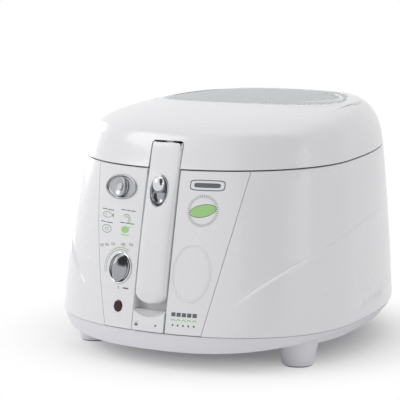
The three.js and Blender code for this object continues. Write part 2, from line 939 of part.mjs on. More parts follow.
function makeHose() {
  const onSpout = (fall) => well.localToWorld(new THREE.Vector3(bowl.drainX, bowl.drainY, -fall));
  const below = onSpout(bowl.drainLength + 3);
  const rise = (height) => hoseFrame.localToWorld(new THREE.Vector3(0, 0, height));
  const floor = baseTray.floorHeight + baseTray.wall + hose.radius + 1;
  const path = new THREE.CatmullRomCurve3([
    onSpout(hose.overlapTop),
    onSpout(mix(hose.overlapTop, bowl.drainLength, 0.6)),
    below,
    new THREE.Vector3(bowl.drainX, below.y - 12, floor + 2),
    new THREE.Vector3(mix(bowl.drainX, hose.x, 0.5), -100, floor),
    new THREE.Vector3(hose.x, rise(0).y + 12, floor + 2),
    rise(12),
    rise(30),
    rise(60),
    rise(hose.top),
  ], false, 'centripetal');
  const section = shapeOf(ellipse(hose.radius, hose.radius, 8));
  section.holes = [shapeOf(ellipse(hose.bore, hose.bore, 8))];
  return new THREE.ExtrudeGeometry(section, { steps: 18, bevelEnabled: false, extrudePath: path });
}

function addDrain() {
  add('hose_compartment', geometryOf(makeHoseBox()), innerPlastic);
  add('drain_hose', makeHose(), sealRubber);
  const capTop = hose.top + clearance + hose.capHeight / 3;
  const cap = revolve([
    [0, capTop],
    [0, hose.top + clearance],
    [hose.radius + clearance, hose.top + clearance],
    [hose.radius + clearance, capTop - hose.capHeight],
    [hose.capRadius, capTop - hose.capHeight],
    [hose.capRadius, capTop],
  ], 24);
  add('drain_hose_cap', cap, rubber, hoseFrame);
}

// ---------------------------------------------------------------- base and feet

function trayRing(inset, heightOf) {
  return Array.from({ length: casing.outlineSides }, (_, i) => {
    const [x, y] = superellipse(casingForm(0, inset), (2 * Math.PI * i) / casing.outlineSides);
    return new THREE.Vector3(x, y, heightOf(x));
  });
}

function makeBaseTray() {
  const rim = casing.bottomHeight - clearance;
  const lip = (x) => baseTray.lipFrontHeight + baseTray.lipSideRise * Math.abs(x / lid.fallHalfWidth) ** 3;
  const outer = solid(loft([
    trayRing(baseTray.floorInset, () => baseTray.floorHeight),
    trayRing(baseTray.lipInset, lip),
    trayRing(1, () => rim),
  ]));
  const floorTop = baseTray.floorHeight + baseTray.wall;
  const inner = solid(loft([
    trayRing(baseTray.floorInset + baseTray.wall, () => floorTop),
    trayRing(baseTray.lipInset + baseTray.wall, () => floorTop + baseTray.wall),
    trayRing(1 + baseTray.wall, () => rim + 1),
  ]));
  let tray = outer.subtract(inner);
  for (const [x, y] of bossPlaces()) {
    tray = tray.subtract(solid(moved(rodZ(pinHole(screw.shaftRadius), 0, past, 12), x, y, 0)));
  }
  return tray;
}

function bossPlaces() {
  const depths = [baseBoss.frontY, baseBoss.backY];
  return [-1, 1].flatMap((side) => depths.map((y) => [side * baseBoss.sideOffset, y]));
}

function makeScrew(headTop) {
  return revolve([
    [0, headTop - screw.headHeight],
    [screw.headRadius, headTop - screw.headHeight],
    [screw.headRadius, headTop],
    [screw.shaftRadius, headTop],
    [screw.shaftRadius, headTop + screw.length],
    [0, headTop + screw.length],
  ], 8);
}

function addBase() {
  add('base_tray', geometryOf(makeBaseTray()), greyPlastic);
  const screwed = makeScrew(baseTray.floorHeight - clearance);
  add('base_screw_left', moved(screwed, -baseBoss.sideOffset, baseBoss.backY, 0), steel);
  add('base_screw_right', moved(screwed, baseBoss.sideOffset, baseBoss.backY, 0), steel);
  const footTop = baseTray.floorHeight - clearance;
  const places = {
    front_left: [-foot.frontOffset, foot.frontY],
    front_right: [foot.frontOffset, foot.frontY],
    rear_left: [-foot.backOffset, foot.backY],
    rear_right: [foot.backOffset, foot.backY],
  };
  for (const [name, [x, y]] of Object.entries(places)) {
    const shape = rodZ(foot.bottomRadius, 0, footTop, 28, foot.topRadius);
    add(`foot_${name}`, moved(shape, x, y, 0), footPlastic);
  }
  const bush = revolve([
    [inlet.bore, -inlet.length],
    [inlet.radius, -inlet.length],
    [inlet.radius, inlet.flangeGap],
    [inlet.flange, inlet.flangeGap],
    [inlet.flange, inlet.flangeGap + inlet.flangeThickness],
    [inlet.bore, inlet.flangeGap + inlet.flangeThickness],
  ], 18);
  add('cord_inlet_bush', bush, rubber, inletFrame);
}

// ---------------------------------------------------------------- bowl and heater

function roundedCup(radius, bottom, top, corner) {
  const steps = 2;
  const profile = [[0, bottom]];
  for (let i = 0; i <= steps; i += 1) {
    const turn = (Math.PI / 2) * (i / steps);
    profile.push([radius - corner + corner * Math.sin(turn), bottom + corner - corner * Math.cos(turn)]);
  }
  profile.push([radius, top], [0, top]);
  return revolve(profile, roundSides);
}

function makeBowl() {
  const wide = 3 * bowl.flangeRadius;
  const belowRim = solid(inWorld(block(-wide, wide, -wide, wide, -wide, flangeTop), seam));
  const outer = solid(inWorld(roundedCup(bowlOuter, 0, 2 * bowl.depth, bowl.cornerRadius), well));
  const inner = solid(inWorld(
    roundedCup(bowl.innerRadius, bowl.sheet, 3 * bowl.depth, bowl.cornerRadius - bowl.sheet),
    well,
  ));
  const rim = rodZ(bowl.flangeRadius, flangeTop - bowl.sheet, flangeTop, roundSides);
  const flange = solid(inWorld(rim, seam));
  const tower = solid(inWorld(rodZ(bowl.towerRadius, 0, bowl.towerHeight), well));
  const towerBore = solid(inWorld(rodZ(bowl.towerBore, -past, bowl.depth), well));
  const pipe = rodZ(bowl.drainRadius, -bowl.drainLength, bowl.sheet);
  const spout = inWorld(moved(pipe, bowl.drainX, bowl.drainY, 0), well);
  const drain = inWorld(moved(rodZ(bowl.drainBore, -past, past / 4), bowl.drainX, bowl.drainY, 0), well);
  return outer.intersect(belowRim)
    .add(flange)
    .subtract(inner)
    .add(tower)
    .subtract(towerBore)
    .add(solid(spout))
    .subtract(solid(drain));
}

function addBowl() {
  add('bowl', geometryOf(makeBowl()), darkCoating);
  const centre = -heater.tubeRadius - clearance;
  const hoop = new THREE.TorusGeometry(heater.ringRadius, heater.tubeRadius, 6, roundSides);
  const ring = solid(moved(hoop, 0, 0, centre));
  const pin = (side) => moved(
    rodZ(heater.pinRadius, centre - heater.pinLength, centre, 12),
    side * heater.pinSpread,
    heater.ringRadius - heater.tubeRadius / 2,
    0,
  );
  add('heating_element', geometryOf(ring.add(solid(pin(-1))).add(solid(pin(1)))), steel, well);
  const cutout = thermalCutout;
  const disc = rodZ(cutout.radius, -cutout.height, -clearance);
  add('thermal_cutout', moved(disc, cutout.x, cutout.y, 0), blackPlastic, well);
  const bulb = thermostatBulb;
  const sensor = new THREE.CylinderGeometry(bulb.radius, bulb.radius, bulb.length, 14);
  add('thermostat_bulb', moved(sensor, bulb.x, 0, -bulb.radius - clearance), brass, well);
}

// ---------------------------------------------------------------- basket drive

// The outline of a spur gear with involute flanks, with one tooth centred at `turn`.
function gearOutline(teeth, size, turn) {
  const pitch = (teeth * size) / 2;
  const pressure = gearing.pressureAngle * DEGREE;
  const base = pitch * Math.cos(pressure);
  const involute = (angle) => Math.tan(angle) - angle;
  const tip = pitch + 0.95 * size;
  const root = pitch - 1.25 * size;
  const halfAtPitch = Math.PI / (2 * teeth) - gearing.backlash / (4 * pitch);
  const halfAt = (radius) => {
    const angle = Math.acos(Math.min(1, base / Math.max(base, radius)));
    return halfAtPitch + involute(pressure) - involute(angle);
  };
  const start = Math.max(base, root);
  const flank = teeth > 2 * gearing.pinionTeeth ? [start, tip] : [start, mix(start, tip, 0.5), tip];
  const outline = [];
  for (let tooth = 0; tooth < teeth; tooth += 1) {
    const centre = turn + (2 * Math.PI * tooth) / teeth;
    const at = (radius, angle) => outline.push([radius * Math.cos(angle), radius * Math.sin(angle)]);
    if (root < start) at(root, centre - halfAt(start));
    flank.forEach((radius) => at(radius, centre - halfAt(radius)));
    flank.toReversed().forEach((radius) => at(radius, centre + halfAt(radius)));
    if (root < start) at(root, centre + halfAt(start));
  }
  return outline;
}

const wheelBottom = gearing.wheelTop - gearing.faceWidth;
const motorY = (gearing.module * (gearing.wheelTeeth + gearing.pinionTeeth)) / 2;
const bracketTop = wheelBottom - 2;
const bracketBottom = bracketTop - motorBracket.thickness;

function addDrive() {
  const shaft = solid(rodZ(gearing.shaftRadius, gearing.shaftBottom, gearing.shaftTop))
    .add(solid(rodZ(gearing.dogRadius, gearing.shaftTop, gearing.shaftTop + gearing.dogHeight, 6)))
    .add(solid(rodZ(gearing.shaftRadius + 2, gearing.shaftBottom, bracketBottom - clearance)));
  add('drive_shaft', geometryOf(shaft), steel, well);
  const bushTop = bowl.towerHeight - 4;
  add('tower_bush', revolve([
    [pinHole(gearing.shaftRadius), bushTop - gearing.bushLength],
    [gearing.bushRadius, bushTop - gearing.bushLength],
    [gearing.bushRadius, bushTop],
    [pinHole(gearing.shaftRadius), bushTop],
  ], 24), brass, well);
  const wheelOutline = gearOutline(gearing.wheelTeeth, gearing.module, Math.PI / 2);
  const wheel = solid(prismZ(wheelOutline, wheelBottom, gearing.wheelTop));
  const wheelBore = solid(rodZ(pinHole(gearing.shaftRadius), -past, past));
  add('drive_wheel', geometryOf(wheel.subtract(wheelBore)), innerPlastic, well);
  const toothTurn = -Math.PI / 2 + Math.PI / gearing.pinionTeeth;
  const pinionOutline = gearOutline(gearing.pinionTeeth, gearing.module, toothTurn);
  const pinion = solid(prismZ(pinionOutline, wheelBottom, gearing.wheelTop));
  const canTop = bracketBottom - clearance;
  const shaftEnd = canTop - 10;
  const pinionShaft = solid(rodZ(motor.shaftRadius, shaftEnd, gearing.wheelTop, 16));
  add('motor_pinion', moved(geometryOf(pinion.add(pinionShaft)), 0, motorY, 0), brass, well);
  const can = solid(rodZ(motor.radius, canTop - motor.length, canTop, 36))
    .add(solid(rodZ(motor.bossRadius, canTop - 1, canTop + motor.bossHeight)))
    .subtract(solid(rodZ(pinHole(motor.shaftRadius), shaftEnd - clearance, past, 16)));
  add('basket_motor', moved(geometryOf(can), 0, motorY, 0), steel, well);
  let bracket = solid(block(
    -motorBracket.halfWidth,
    motorBracket.halfWidth,
    motorBracket.front,
    motorBracket.back,
    bracketBottom,
    bracketTop,
  ));
  for (const [x, y] of motorBracket.posts) {
    const post = rodZ(motorBracket.postRadius, bracketBottom, -clearance, 16);
    bracket = bracket.add(solid(moved(post, x, y, 0)));
  }
  bracket = bracket
    .subtract(solid(rodZ(pinHole(gearing.shaftRadius), -past, past)))
    .subtract(solid(moved(rodZ(pinHole(motor.bossRadius), -past, past), 0, motorY, 0)));
  add('motor_bracket', geometryOf(bracket), steel, well);
}

// ---------------------------------------------------------------- basket and its carrier

const hubCapTop = basket.top - 1;
const dogTop = gearing.shaftTop + gearing.dogHeight;
const crossbarBottom = basket.top + basket.pinRadius;
const crossbarTop = crossbarBottom + carrier.barHeight;
const bossTop = crossbarTop + carrier.bossHeight;

function makeBasket() {
  const inner = basket.radius - basket.sheet;
  const floorTop = basket.bottom + basket.sheet;
  const capBottom = dogTop + 1.4;
  let body = solid(revolve([
    [basket.hubBore, basket.bottom],
    [basket.radius, basket.bottom],
    [basket.radius, basket.top],
    [inner, basket.top],
    [inner, floorTop],
    [basket.hubRadius, floorTop],
    [basket.hubRadius, hubCapTop],
    [basket.pinRadius, hubCapTop],
    [basket.pinRadius, basket.pinTop],
    [0, basket.pinTop],
    [0, capBottom],
    [basket.hubBore, capBottom],
  ], roundSides));
  const socket = solid(rodZ(basket.hubBore - 1.5, gearing.shaftTop + clearance, capBottom + 0.5))
    .subtract(solid(rodZ(gearing.dogRadius + clearance, 0, dogTop + 1, 6)));
  body = body.add(socket);
  const half = basket.slotWidth / 2;
  for (let i = 0; i < basket.slotCount; i += 1) {
    const turn = (2 * Math.PI * (i + 0.5)) / basket.slotCount;
    const [slotLow, slotHigh] = [floorTop + basket.slotMargin / 2, basket.top - basket.slotMargin];
    const wallSlot = block(inner - 1, basket.radius + 1, -half, half, slotLow, slotHigh);
    body = body.subtract(solid(wallSlot.rotateZ(turn)));
    if (i % 2 === 0) {
      const floorSlot = block(basket.floorSlotInner, basket.floorSlotOuter, -half, half, 0, floorTop + 1);
      body = body.subtract(solid(floorSlot.rotateZ(turn)));
    }
  }
  return body;
}

// where the lift arm's end sits beside the carrier's fork, with the basket down and up
function forkPlaces() {
  const armEnd = (turn) => {
    const y = lift.armY * Math.cos(turn) - lift.armZ * Math.sin(turn);
    const z = lift.armY * Math.sin(turn) + lift.armZ * Math.cos(turn);
    return localTo(well, liftPivot.y + y, liftPivot.z + z);
  };
  const down = armEnd(0);
  const up = armEnd(handle.foldAngle * lift.ratio * DEGREE);
  return { down, up };
}

function makeCarrier() {
  const outer = carrier.ringRadius;
  const ringBottom = crossbarTop - carrier.ringHeight;
  let body = solid(revolve([
    [outer - carrier.ringWidth, ringBottom],
    [outer, ringBottom],
    [outer, crossbarTop],
    [outer - carrier.ringWidth, crossbarTop],
  ], roundSides));
  const barHalf = carrier.barWidth / 2;
  const bar = block(-barHalf, barHalf, 1 - outer, outer - 1, crossbarBottom, crossbarTop);
  body = body.add(solid(bar)).add(solid(rodZ(carrier.bossRadius, crossbarBottom, bossTop)));
  const { down, up } = forkPlaces();
  const reach = lift.endPinRadius + 1;
  const [slotFront, slotBack] = [down.y - reach, up.y + reach];
  const slot = [slotFront, slotBack, down.z - carrier.slotHalfHeight, down.z + carrier.slotHalfHeight];
  const frame = carrier.slotFrame;
  const front = Math.min(slot[0] - frame, -outer);
  const fork = [
    [front, ringBottom],
    [front + 12, ringBottom],
    [front + 12, slot[2] - 3 * frame],
    [slot[1] + frame, slot[2] - frame],
    [slot[1] + frame, slot[3] + frame],
    [front, slot[3] + frame],
  ];
  for (const side of [-1, 1]) {
    const near = side * carrier.forkGap;
    const far = side * (carrier.forkGap + carrier.forkThickness);
    const [x0, x1] = [Math.min(near, far), Math.max(near, far)];
    body = body.add(solid(prismX(fork, x0, x1)));
    body = body.subtract(solid(block(x0 - 1, x1 + 1, slot[0], slot[1], slot[2], slot[3])));
  }
  return body.subtract(solid(rodZ(pinHole(basket.pinRadius), -past, past * 4)));
}

function addBasket() {
  add('basket', geometryOf(makeBasket()), steel, well);
  add('basket_carrier', geometryOf(makeCarrier()), steel, well);
  const clipBottom = bossTop + clearance;
  add('basket_clip', revolve([
    [pinHole(basket.pinRadius), clipBottom],
    [carrier.bossRadius, clipBottom],
    [carrier.bossRadius, clipBottom + basket.sheet],
    [pinHole(basket.pinRadius), clipBottom + basket.sheet],
  ], 24), steel, well);
}

// ---------------------------------------------------------------- handle and lift

function handleRing(height, grow) {
  const table = handle.proud;
  const low = handle.bottomHeight;
  const end = Math.min(1, (height - low) / handle.endRound);
  const endShare = Math.sqrt(Math.max(0.02, 1 - (1 - end) ** 2));
  const topDrop = Math.max(0, height - (handleTop - 3));
  const taper = smooth(75, 144, height);
  const half = (mix(handle.halfWidth, handle.topHalfWidth, taper) - topDrop / 3) * endShare + grow;
  const crown = alongTable(table, height) - topDrop + grow;
  const points = [];
  const steps = grow < 0 ? 4 : 8;
  for (let i = 0; i <= steps; i += 1) {
    const across = Math.sin((Math.PI / 2) * ((2 * i) / steps - 1));
    points.push([half * across, -crown + handle.crownSag * across ** 4]);
  }
  const back = handle.depth + Math.max(0, -3 * grow);
  points.push([half, back], [-half, back]);
  return points.map(([x, y]) => new THREE.Vector3(x, y, height));
}

function handleBody(grow) {
  const low = handle.bottomHeight - grow;
  const high = handleTop + grow;
  const heights = [0, 0.2, 0.55, 1].map((share) => low + share * handle.endRound);
  handle.proud.slice(1, -1).forEach(([height]) => heights.push(height));
  heights.push(high - 3, high);
  return loft(heights.map((height) => {
    const shifted = Math.min(handleTop, Math.max(handle.bottomHeight, height));
    return handleRing(shifted, grow).map((point) => point.setZ(height));
  }));
}

const sliderSeat = -alongTable(handle.proud, slider.centreHeight);

function makeHandleShell() {
  const shell = solid(handleBody(0)).subtract(solid(handleBody(-handle.wall)));
  const recess = ellipse(slider.recessHalfWidth, slider.recessHalfHeight, 32, 0, slider.centreHeight);
  const inside = cheekOuter + clearance;
  const nearPivot = block(
    -inside,
    inside,
    pivotLocal.y - handlePivot.noseRadius,
    past,
    pivotLocal.z - 2 * handlePivot.belowTop,
    past + handleTop,
  );
  const pin = rodX(pinHole(handlePivot.pinRadius), -past, past, pivotLocal.y, pivotLocal.z);
  const noseRoom = handlePivot.noseRadius + 2 * clearance;
  const toothRoom = lift.quadrantWidth / 2 + 2 * clearance;
  const toothFront = pivotLocal.y - 2.5;
  const besideTeeth = block(-toothRoom, toothRoom, toothFront, past, pivotLocal.z, past + handleTop);
  return shell
    .subtract(solid(rodX(noseRoom, -inside, inside, pivotLocal.y, pivotLocal.z, 20)))
    .subtract(solid(besideTeeth))
    .subtract(solid(prismY(recess, -past, handle.depth - 4)))
    .subtract(solid(nearPivot))
    .subtract(solid(pin));
}

function wedge(from, to, reach) {
  const points = [[0, 0]];
  const steps = 6;
  for (let i = 0; i <= steps; i += 1) {
    const turn = mix(from, to, i / steps);
    points.push([reach * Math.cos(turn), reach * Math.sin(turn)]);
  }
  return points;
}

const liftLine = Math.atan2(liftPivot.z - handlePivot.z, liftPivot.y - handlePivot.y);
const liftTeeth = lift.handleTeeth / lift.ratio;
const pivotDistance = Math.hypot(liftPivot.z - handlePivot.z, liftPivot.y - handlePivot.y);
const quadrantModule = (2 * pivotDistance) / (lift.handleTeeth + liftTeeth);

function quadrant(teeth, turn, from, to, y, z) {
  const half = lift.quadrantWidth / 2;
  const gear = solid(prismX(gearOutline(teeth, quadrantModule, turn), -half, half));
  const sector = solid(prismX(wedge(from, to, teeth * quadrantModule), -half - 1, half + 1));
  return gear.intersect(sector).translate(0, y, z);
}

// built in the world, because its teeth mesh with the lift arm's
function makeHandleCore() {
  const margin = 12 * DEGREE;
  const { y, z } = handlePivot;
  const nose = handlePivot.noseRadius;
  const plateBack = handle.depth - 0.2;
  const plateFront = plateBack - handle.wall;
  const plate = block(
    -cheekOuter + handle.wall,
    cheekOuter - handle.wall,
    plateFront,
    plateBack,
    handle.bottomHeight + handle.endRound,
    handleTop - 28,
  );
  const neck = prismX([
    [plateFront, handleTop - 30],
    [plateBack, handleTop - 30],
    [plateBack, pivotLocal.z - 8],
    [pivotLocal.y + nose * 0.7, pivotLocal.z + nose * 0.7],
    [pivotLocal.y - nose * 0.7, pivotLocal.z - nose * 0.7],
    [plateFront, handleTop - 20],
  ], -hubHalf, hubHalf);
  return solid(inWorld(plate, face))
    .add(solid(inWorld(neck, face)))
    .add(solid(rodX(nose, -hubHalf, hubHalf, y, z)))
    .add(quadrant(lift.handleTeeth, liftLine, liftLine - margin, liftLine + handle.foldAngle * DEGREE + margin, y, z))
    .subtract(solid(rodX(pinHole(handlePivot.pinRadius), -past, past, y, z)));
}

function link(from, to, thickness, x0, x1) {
  const length = Math.hypot(to[0] - from[0], to[1] - from[1]);
  const barHalf = 0.46 * thickness; // inside the round ends
  const bar = block(x0, x1, 0, length, -barHalf, barHalf);
  bar.rotateX(Math.atan2(to[1] - from[1], to[0] - from[0]));
  return joined(
    moved(bar, 0, ...from),
    rodX(thickness / 2, x0, x1, ...from),
    rodX(thickness / 2, x0, x1, ...to),
  );
}

function makeLiftArm() {
  const half = lift.armWidth / 2;
  const pivot = [liftPivot.y, liftPivot.z];
  const end = [liftPivot.y + lift.armY, liftPivot.z + lift.armZ];
  const elbow = [end[0] - 13, end[1] + 16];
  const toHandle = liftLine + Math.PI;
  const margin = 6 * DEGREE;
  const sweep = handle.foldAngle * lift.ratio * DEGREE;
  const gapTurn = toHandle + Math.PI / liftTeeth;
  const forkOuter = carrier.forkGap + carrier.forkThickness;
  return link(pivot, elbow, lift.armHeight, -half, half)
    .add(link(elbow, end, lift.armHeight, -half, half))
    .add(solid(rodX(lift.hubRadius, -hubHalf, hubHalf, ...pivot)))
    .add(quadrant(liftTeeth, gapTurn, toHandle - sweep - margin, toHandle + margin, ...pivot))
    .add(solid(rodX(lift.endPinRadius, -forkOuter, forkOuter, ...end)))
    .subtract(solid(rodX(pinHole(handlePivot.pinRadius), -past, past, ...pivot)));
}

function makeHandleBracket() {
  const deck = (y) => seamHeight(y) + deckTop + clearance;
  const [back, front] = [bowl.rimCentreY - bowl.flangeRadius, handlePivot.y + 11];
  const foot = [[front, deck(front)], [back, deck(back)], [back, deck(back) + 3], [front, deck(front) + 3]];
  const nose = handlePivot.noseRadius;
  const pieces = [-1, 1].flatMap((side) => {
    const [x0, x1] = side < 0 ? [-cheekOuter, -cheekInner] : [cheekInner, cheekOuter];
    const cheek = prismX([
      [front, deck(front)],
      [back, deck(back)],
      [liftPivot.y + lift.hubRadius, liftPivot.z],
      [liftPivot.y, liftPivot.z + lift.hubRadius],
      [handlePivot.y + 1, handlePivot.z + nose * 0.96],
      [handlePivot.y + 1, handlePivot.z - nose * 0.96],
    ], x0, x1);
    const padInner = side * (lift.quadrantWidth / 2 + 1);
    const pad = prismX(foot, Math.min(x0, padInner), Math.max(x1, padInner));
    return [
      cheek,
      pad,
      rodX(nose, x0, x1, handlePivot.y, handlePivot.z),
      rodX(lift.hubRadius, x0, x1, liftPivot.y, liftPivot.z),
    ];
  });
  const bridge = block(-cheekInner, cheekInner, back - 3, back, deck(back), deck(back) + 2);
  return joined(bridge, ...pieces)
    .subtract(solid(rodX(pinHole(handlePivot.pinRadius), -past, past, handlePivot.y, handlePivot.z)))
    .subtract(solid(rodX(pinHole(handlePivot.pinRadius), -past, past, liftPivot.y, liftPivot.z)));
}

function addHandle() {
  add('handle_shell', geometryOf(makeHandleShell()), whitePlastic, face);
  add('handle_core', geometryOf(makeHandleCore()), innerPlastic);
  add('handle_bracket', geometryOf(makeHandleBracket()), steel);
  const pinHalf = handle.topHalfWidth - handle.wall / 2;
  add('handle_pin', rodX(handlePivot.pinRadius, -pinHalf, pinHalf, handlePivot.y, handlePivot.z), steel);
  add('lift_arm', geometryOf(makeLiftArm()), steel);
  add('lift_arm_pin', rodX(handlePivot.pinRadius, -cheekOuter, cheekOuter, liftPivot.y, liftPivot.z), steel);
  const centre = slider.centreHeight;
  const cupFloor = sliderSeat + slider.recessDepth;
  const [halfWide, halfTall] = [slider.recessHalfWidth, slider.recessHalfHeight];
  const oval = (shrink) => ellipse(halfWide - shrink, halfTall - shrink, 32, 0, centre);
  const stemHeight = centre + halfTall - slider.buttonHalfHeight - 2;
  const stem = (grow) => ellipse(2.5 + grow, 3 + grow, 16, 0, stemHeight);
  const slot = solid(prismY(stem(clearance), -past, past));
  const lowSlot = solid(moved(prismY(stem(clearance), -past, past), 0, 0, -slider.travel));
  const slotJoin = solid(block(-2.8, 2.8, -past, past, centre - slider.travel + 4.5, centre + 4.5));
  const cup = solid(prismY(oval(clearance), sliderSeat + 1, cupFloor))
    .subtract(solid(prismY(oval(clearance + slider.cupSheet), -past, cupFloor - slider.cupSheet)))
    .subtract(slot)
    .subtract(lowSlot)
    .subtract(slotJoin);
  add('slider_cup', geometryOf(cup), chrome, face);
  const buttonCentre = centre + slider.recessHalfHeight - slider.buttonHalfHeight - 2;
  const floor = cupFloor - slider.cupSheet - clearance;
  const dome = new THREE.SphereGeometry(1, 28, 16);
  dome.scale(slider.buttonHalfWidth, floor - sliderSeat + slider.buttonProud, slider.buttonHalfHeight);
  const flatBack = block(-past, past, -past, floor, buttonCentre - past, buttonCentre + past);
  const button = solid(moved(dome, 0, floor, buttonCentre))
    .intersect(solid(flatBack))
    .add(solid(prismY(stem(0), floor - 1, cupFloor + 2.5)))
    .add(solid(prismY(ellipse(4.5, 4.5, 16, 0, buttonCentre), cupFloor + clearance, cupFloor + 2.5)));
  add('handle_slider', geometryOf(button), chrome, face);
}

// ---------------------------------------------------------------- lid release

function addRelease() {
  const half = channelHalf - releaseButton.sideGap;
  const low = panel.edgeGap;
  const pressedDrop = releaseButton.travel * Math.sin(frontLean);
  const front = solid(casingBody(-panel.edgeGap - 0.7, 0, casing.bottomHeight + clearance + pressedDrop));
  const high = low + releaseButton.height;
  const body = solid(inWorld(block(-half, half, -past, buttonBack, -low, high), face));
  const dish = new THREE.SphereGeometry(releaseButton.dishRadius, 32, 20);
  dish.scale(1, 0.7, 0.75);
  dish.translate(0, -releaseButton.dishDepth + 4, high + releaseButton.dishRadius * 0.45);
  const { tailLow, tailHigh } = releaseButton;
  const tailBlock = block(latch.x - latch.thickness / 2, 0, tailFront, buttonBack, tailLow, tailHigh);
  const button = body
    .intersect(front)
    .subtract(solid(inWorld(dish, face)))
    .add(solid(inWorld(tailBlock, face)));
  add('lid_release_button', geometryOf(button), whitePlastic);

  const [x0, x1] = [latch.x - latch.thickness / 2, latch.x + latch.thickness / 2];
  const back = latch.depth + latch.width;
  const hookBottom = latch.topHeight + 2;
  const lever = solid(prismX([
    [latch.depth, latch.bottomHeight + 9],
    [buttonBack + clearance, latch.bottomHeight + 7],
    [buttonBack + clearance, latch.bottomHeight],
    [back, latch.bottomHeight],
    [back, hookBottom],
    [back + latch.hookReach, hookBottom],
    [back + latch.hookReach, hookBottom + 2],
    [back, hookBottom + latch.hookHeight],
    [latch.depth, hookBottom + latch.hookHeight],
  ], x0, x1));
  const pivotDepth = latch.depth + latch.width / 2;
  const pivotHole = solid(rodX(pinHole(latch.pinRadius), -past, past, pivotDepth, latch.pivotHeight));
  add('latch_lever', geometryOf(lever.subtract(pivotHole)), innerPlastic, face);
  const pinHead = x0 - clearance;
  const pin = joined(
    rodX(latch.pinRadius, pinHead - 1, -housingHalf - clearance, pivotDepth, latch.pivotHeight),
    rodX(latch.pinHead, pinHead - 2, pinHead, pivotDepth, latch.pivotHeight),
  );
  add('latch_pin', geometryOf(pin), steel, face);
}

// ---------------------------------------------------------------- lid

function lidTop(x, y) {
  const ahead = lid.apexY - y;
  const fall = ahead > 0
    ? lid.frontFall * (ahead / lid.fallLength) ** lid.frontFallPower
    : lid.backFall * (-ahead / lid.fallLength) ** lid.backFallPower;
  return lidTopHeight - fall - lid.sideFall * Math.abs(x / lid.fallHalfWidth) ** lid.sideFallPower;
}

// One section of the lid, from the seam up its wall, round its shoulder and in to the apex.
function lidSection(turn, inset, bendShares) {
  const [startX, startY] = superellipse(casingForm(1, inset), turn);
  const apex = new THREE.Vector2(0, lid.apexY);
  const inward = new THREE.Vector2(-startX, lid.apexY - startY).normalize();
  const frontShare = Math.max(0, inward.y) ** 2;
  const backShare = Math.max(0, -inward.y) ** 2;
  const sideShare = 1 - frontShare - backShare;
  const blend = (front, side, back) => frontShare * front + sideShare * side + backShare * back;
  const draft = blend(lid.frontDraft, lid.sideDraft, lid.backDraft);
  const down = blend(lid.frontShoulder[0], lid.sideShoulder[0], lid.backShoulder[0]);
  const along = blend(lid.frontShoulder[1], lid.sideShoulder[1], lid.backShoulder[1]);
  const base = seamHeight(startY) + casing.seamGap / 2;
  const at = (step) => [startX + inward.x * step, startY + inward.y * step];
  let height = 20;
  for (let pass = 0; pass < 12; pass += 1) height = lidTop(...at(draft * height)) - inset - base;
  const [cornerX, cornerY] = at(draft * height);
  const corner = new THREE.Vector3(cornerX, cornerY, base + height);
  const onWall = (rise) => new THREE.Vector3(...at(draft * rise), base + rise);
  const onTop = (x, y) => new THREE.Vector3(x, y, lidTop(x, y) - inset);
  const low = onWall(height - down);
  const high = onTop(cornerX + inward.x * along, cornerY + inward.y * along);
  const bend = bendShares.map((share) => {
    const first = low.clone().lerp(corner, share);
    return first.lerp(corner.clone().lerp(high, share), share);
  });
  const crown = [0.45, 0.97].map((share) => onTop(mix(high.x, apex.x, share), mix(high.y, apex.y, share)));
  return [onWall(0), ...bend, ...crown];
}

function lidBody(inset) {
  const sides = casing.outlineSides;
  const turns = Array.from({ length: sides }, (_, i) => (2 * Math.PI * i) / sides);
  const bendShares = inset > 0 ? [0, 0.5, 1] : [0, 0.33, 0.67, 1];
  const sections = turns.map((turn) => lidSection(turn, inset, bendShares));
  return loft(sections[0].map((_, ring) => sections.map((section) => section[ring])));
}

function filterOutline(grow) {
  const middle = (filter.front + filter.back) / 2;
  const form = {
    halfWidth: filter.halfWidth + grow,
    front: filter.front - grow,
    back: filter.back + grow,
    middle,
    frontPower: filter.power,
    backPower: filter.power,
  };
  return Array.from({ length: roundSides }, (_, i) => superellipse(form, (2 * Math.PI * i) / roundSides));
}

function filterPrism(grow) {
  return solid(prismZ(filterOutline(grow), lidTopHeight - filter.prismDepth, lidTopHeight + past));
}

const gasketOuter = bowl.flangeRadius - gasket.edgeInset;
const gasketInner = gasketOuter - gasket.width;
const linerFlange = bowl.flangeRadius + liner.flangeOverhang;
const linerBosses = liner.screwTurns.map((degrees) => {
  const radius = (liner.wallRadius + gasketInner) / 2;
  return [radius * Math.cos(degrees * DEGREE), radius * Math.sin(degrees * DEGREE)];
});

function earPlaces() {
  return [-hinge.x, hinge.x];
}

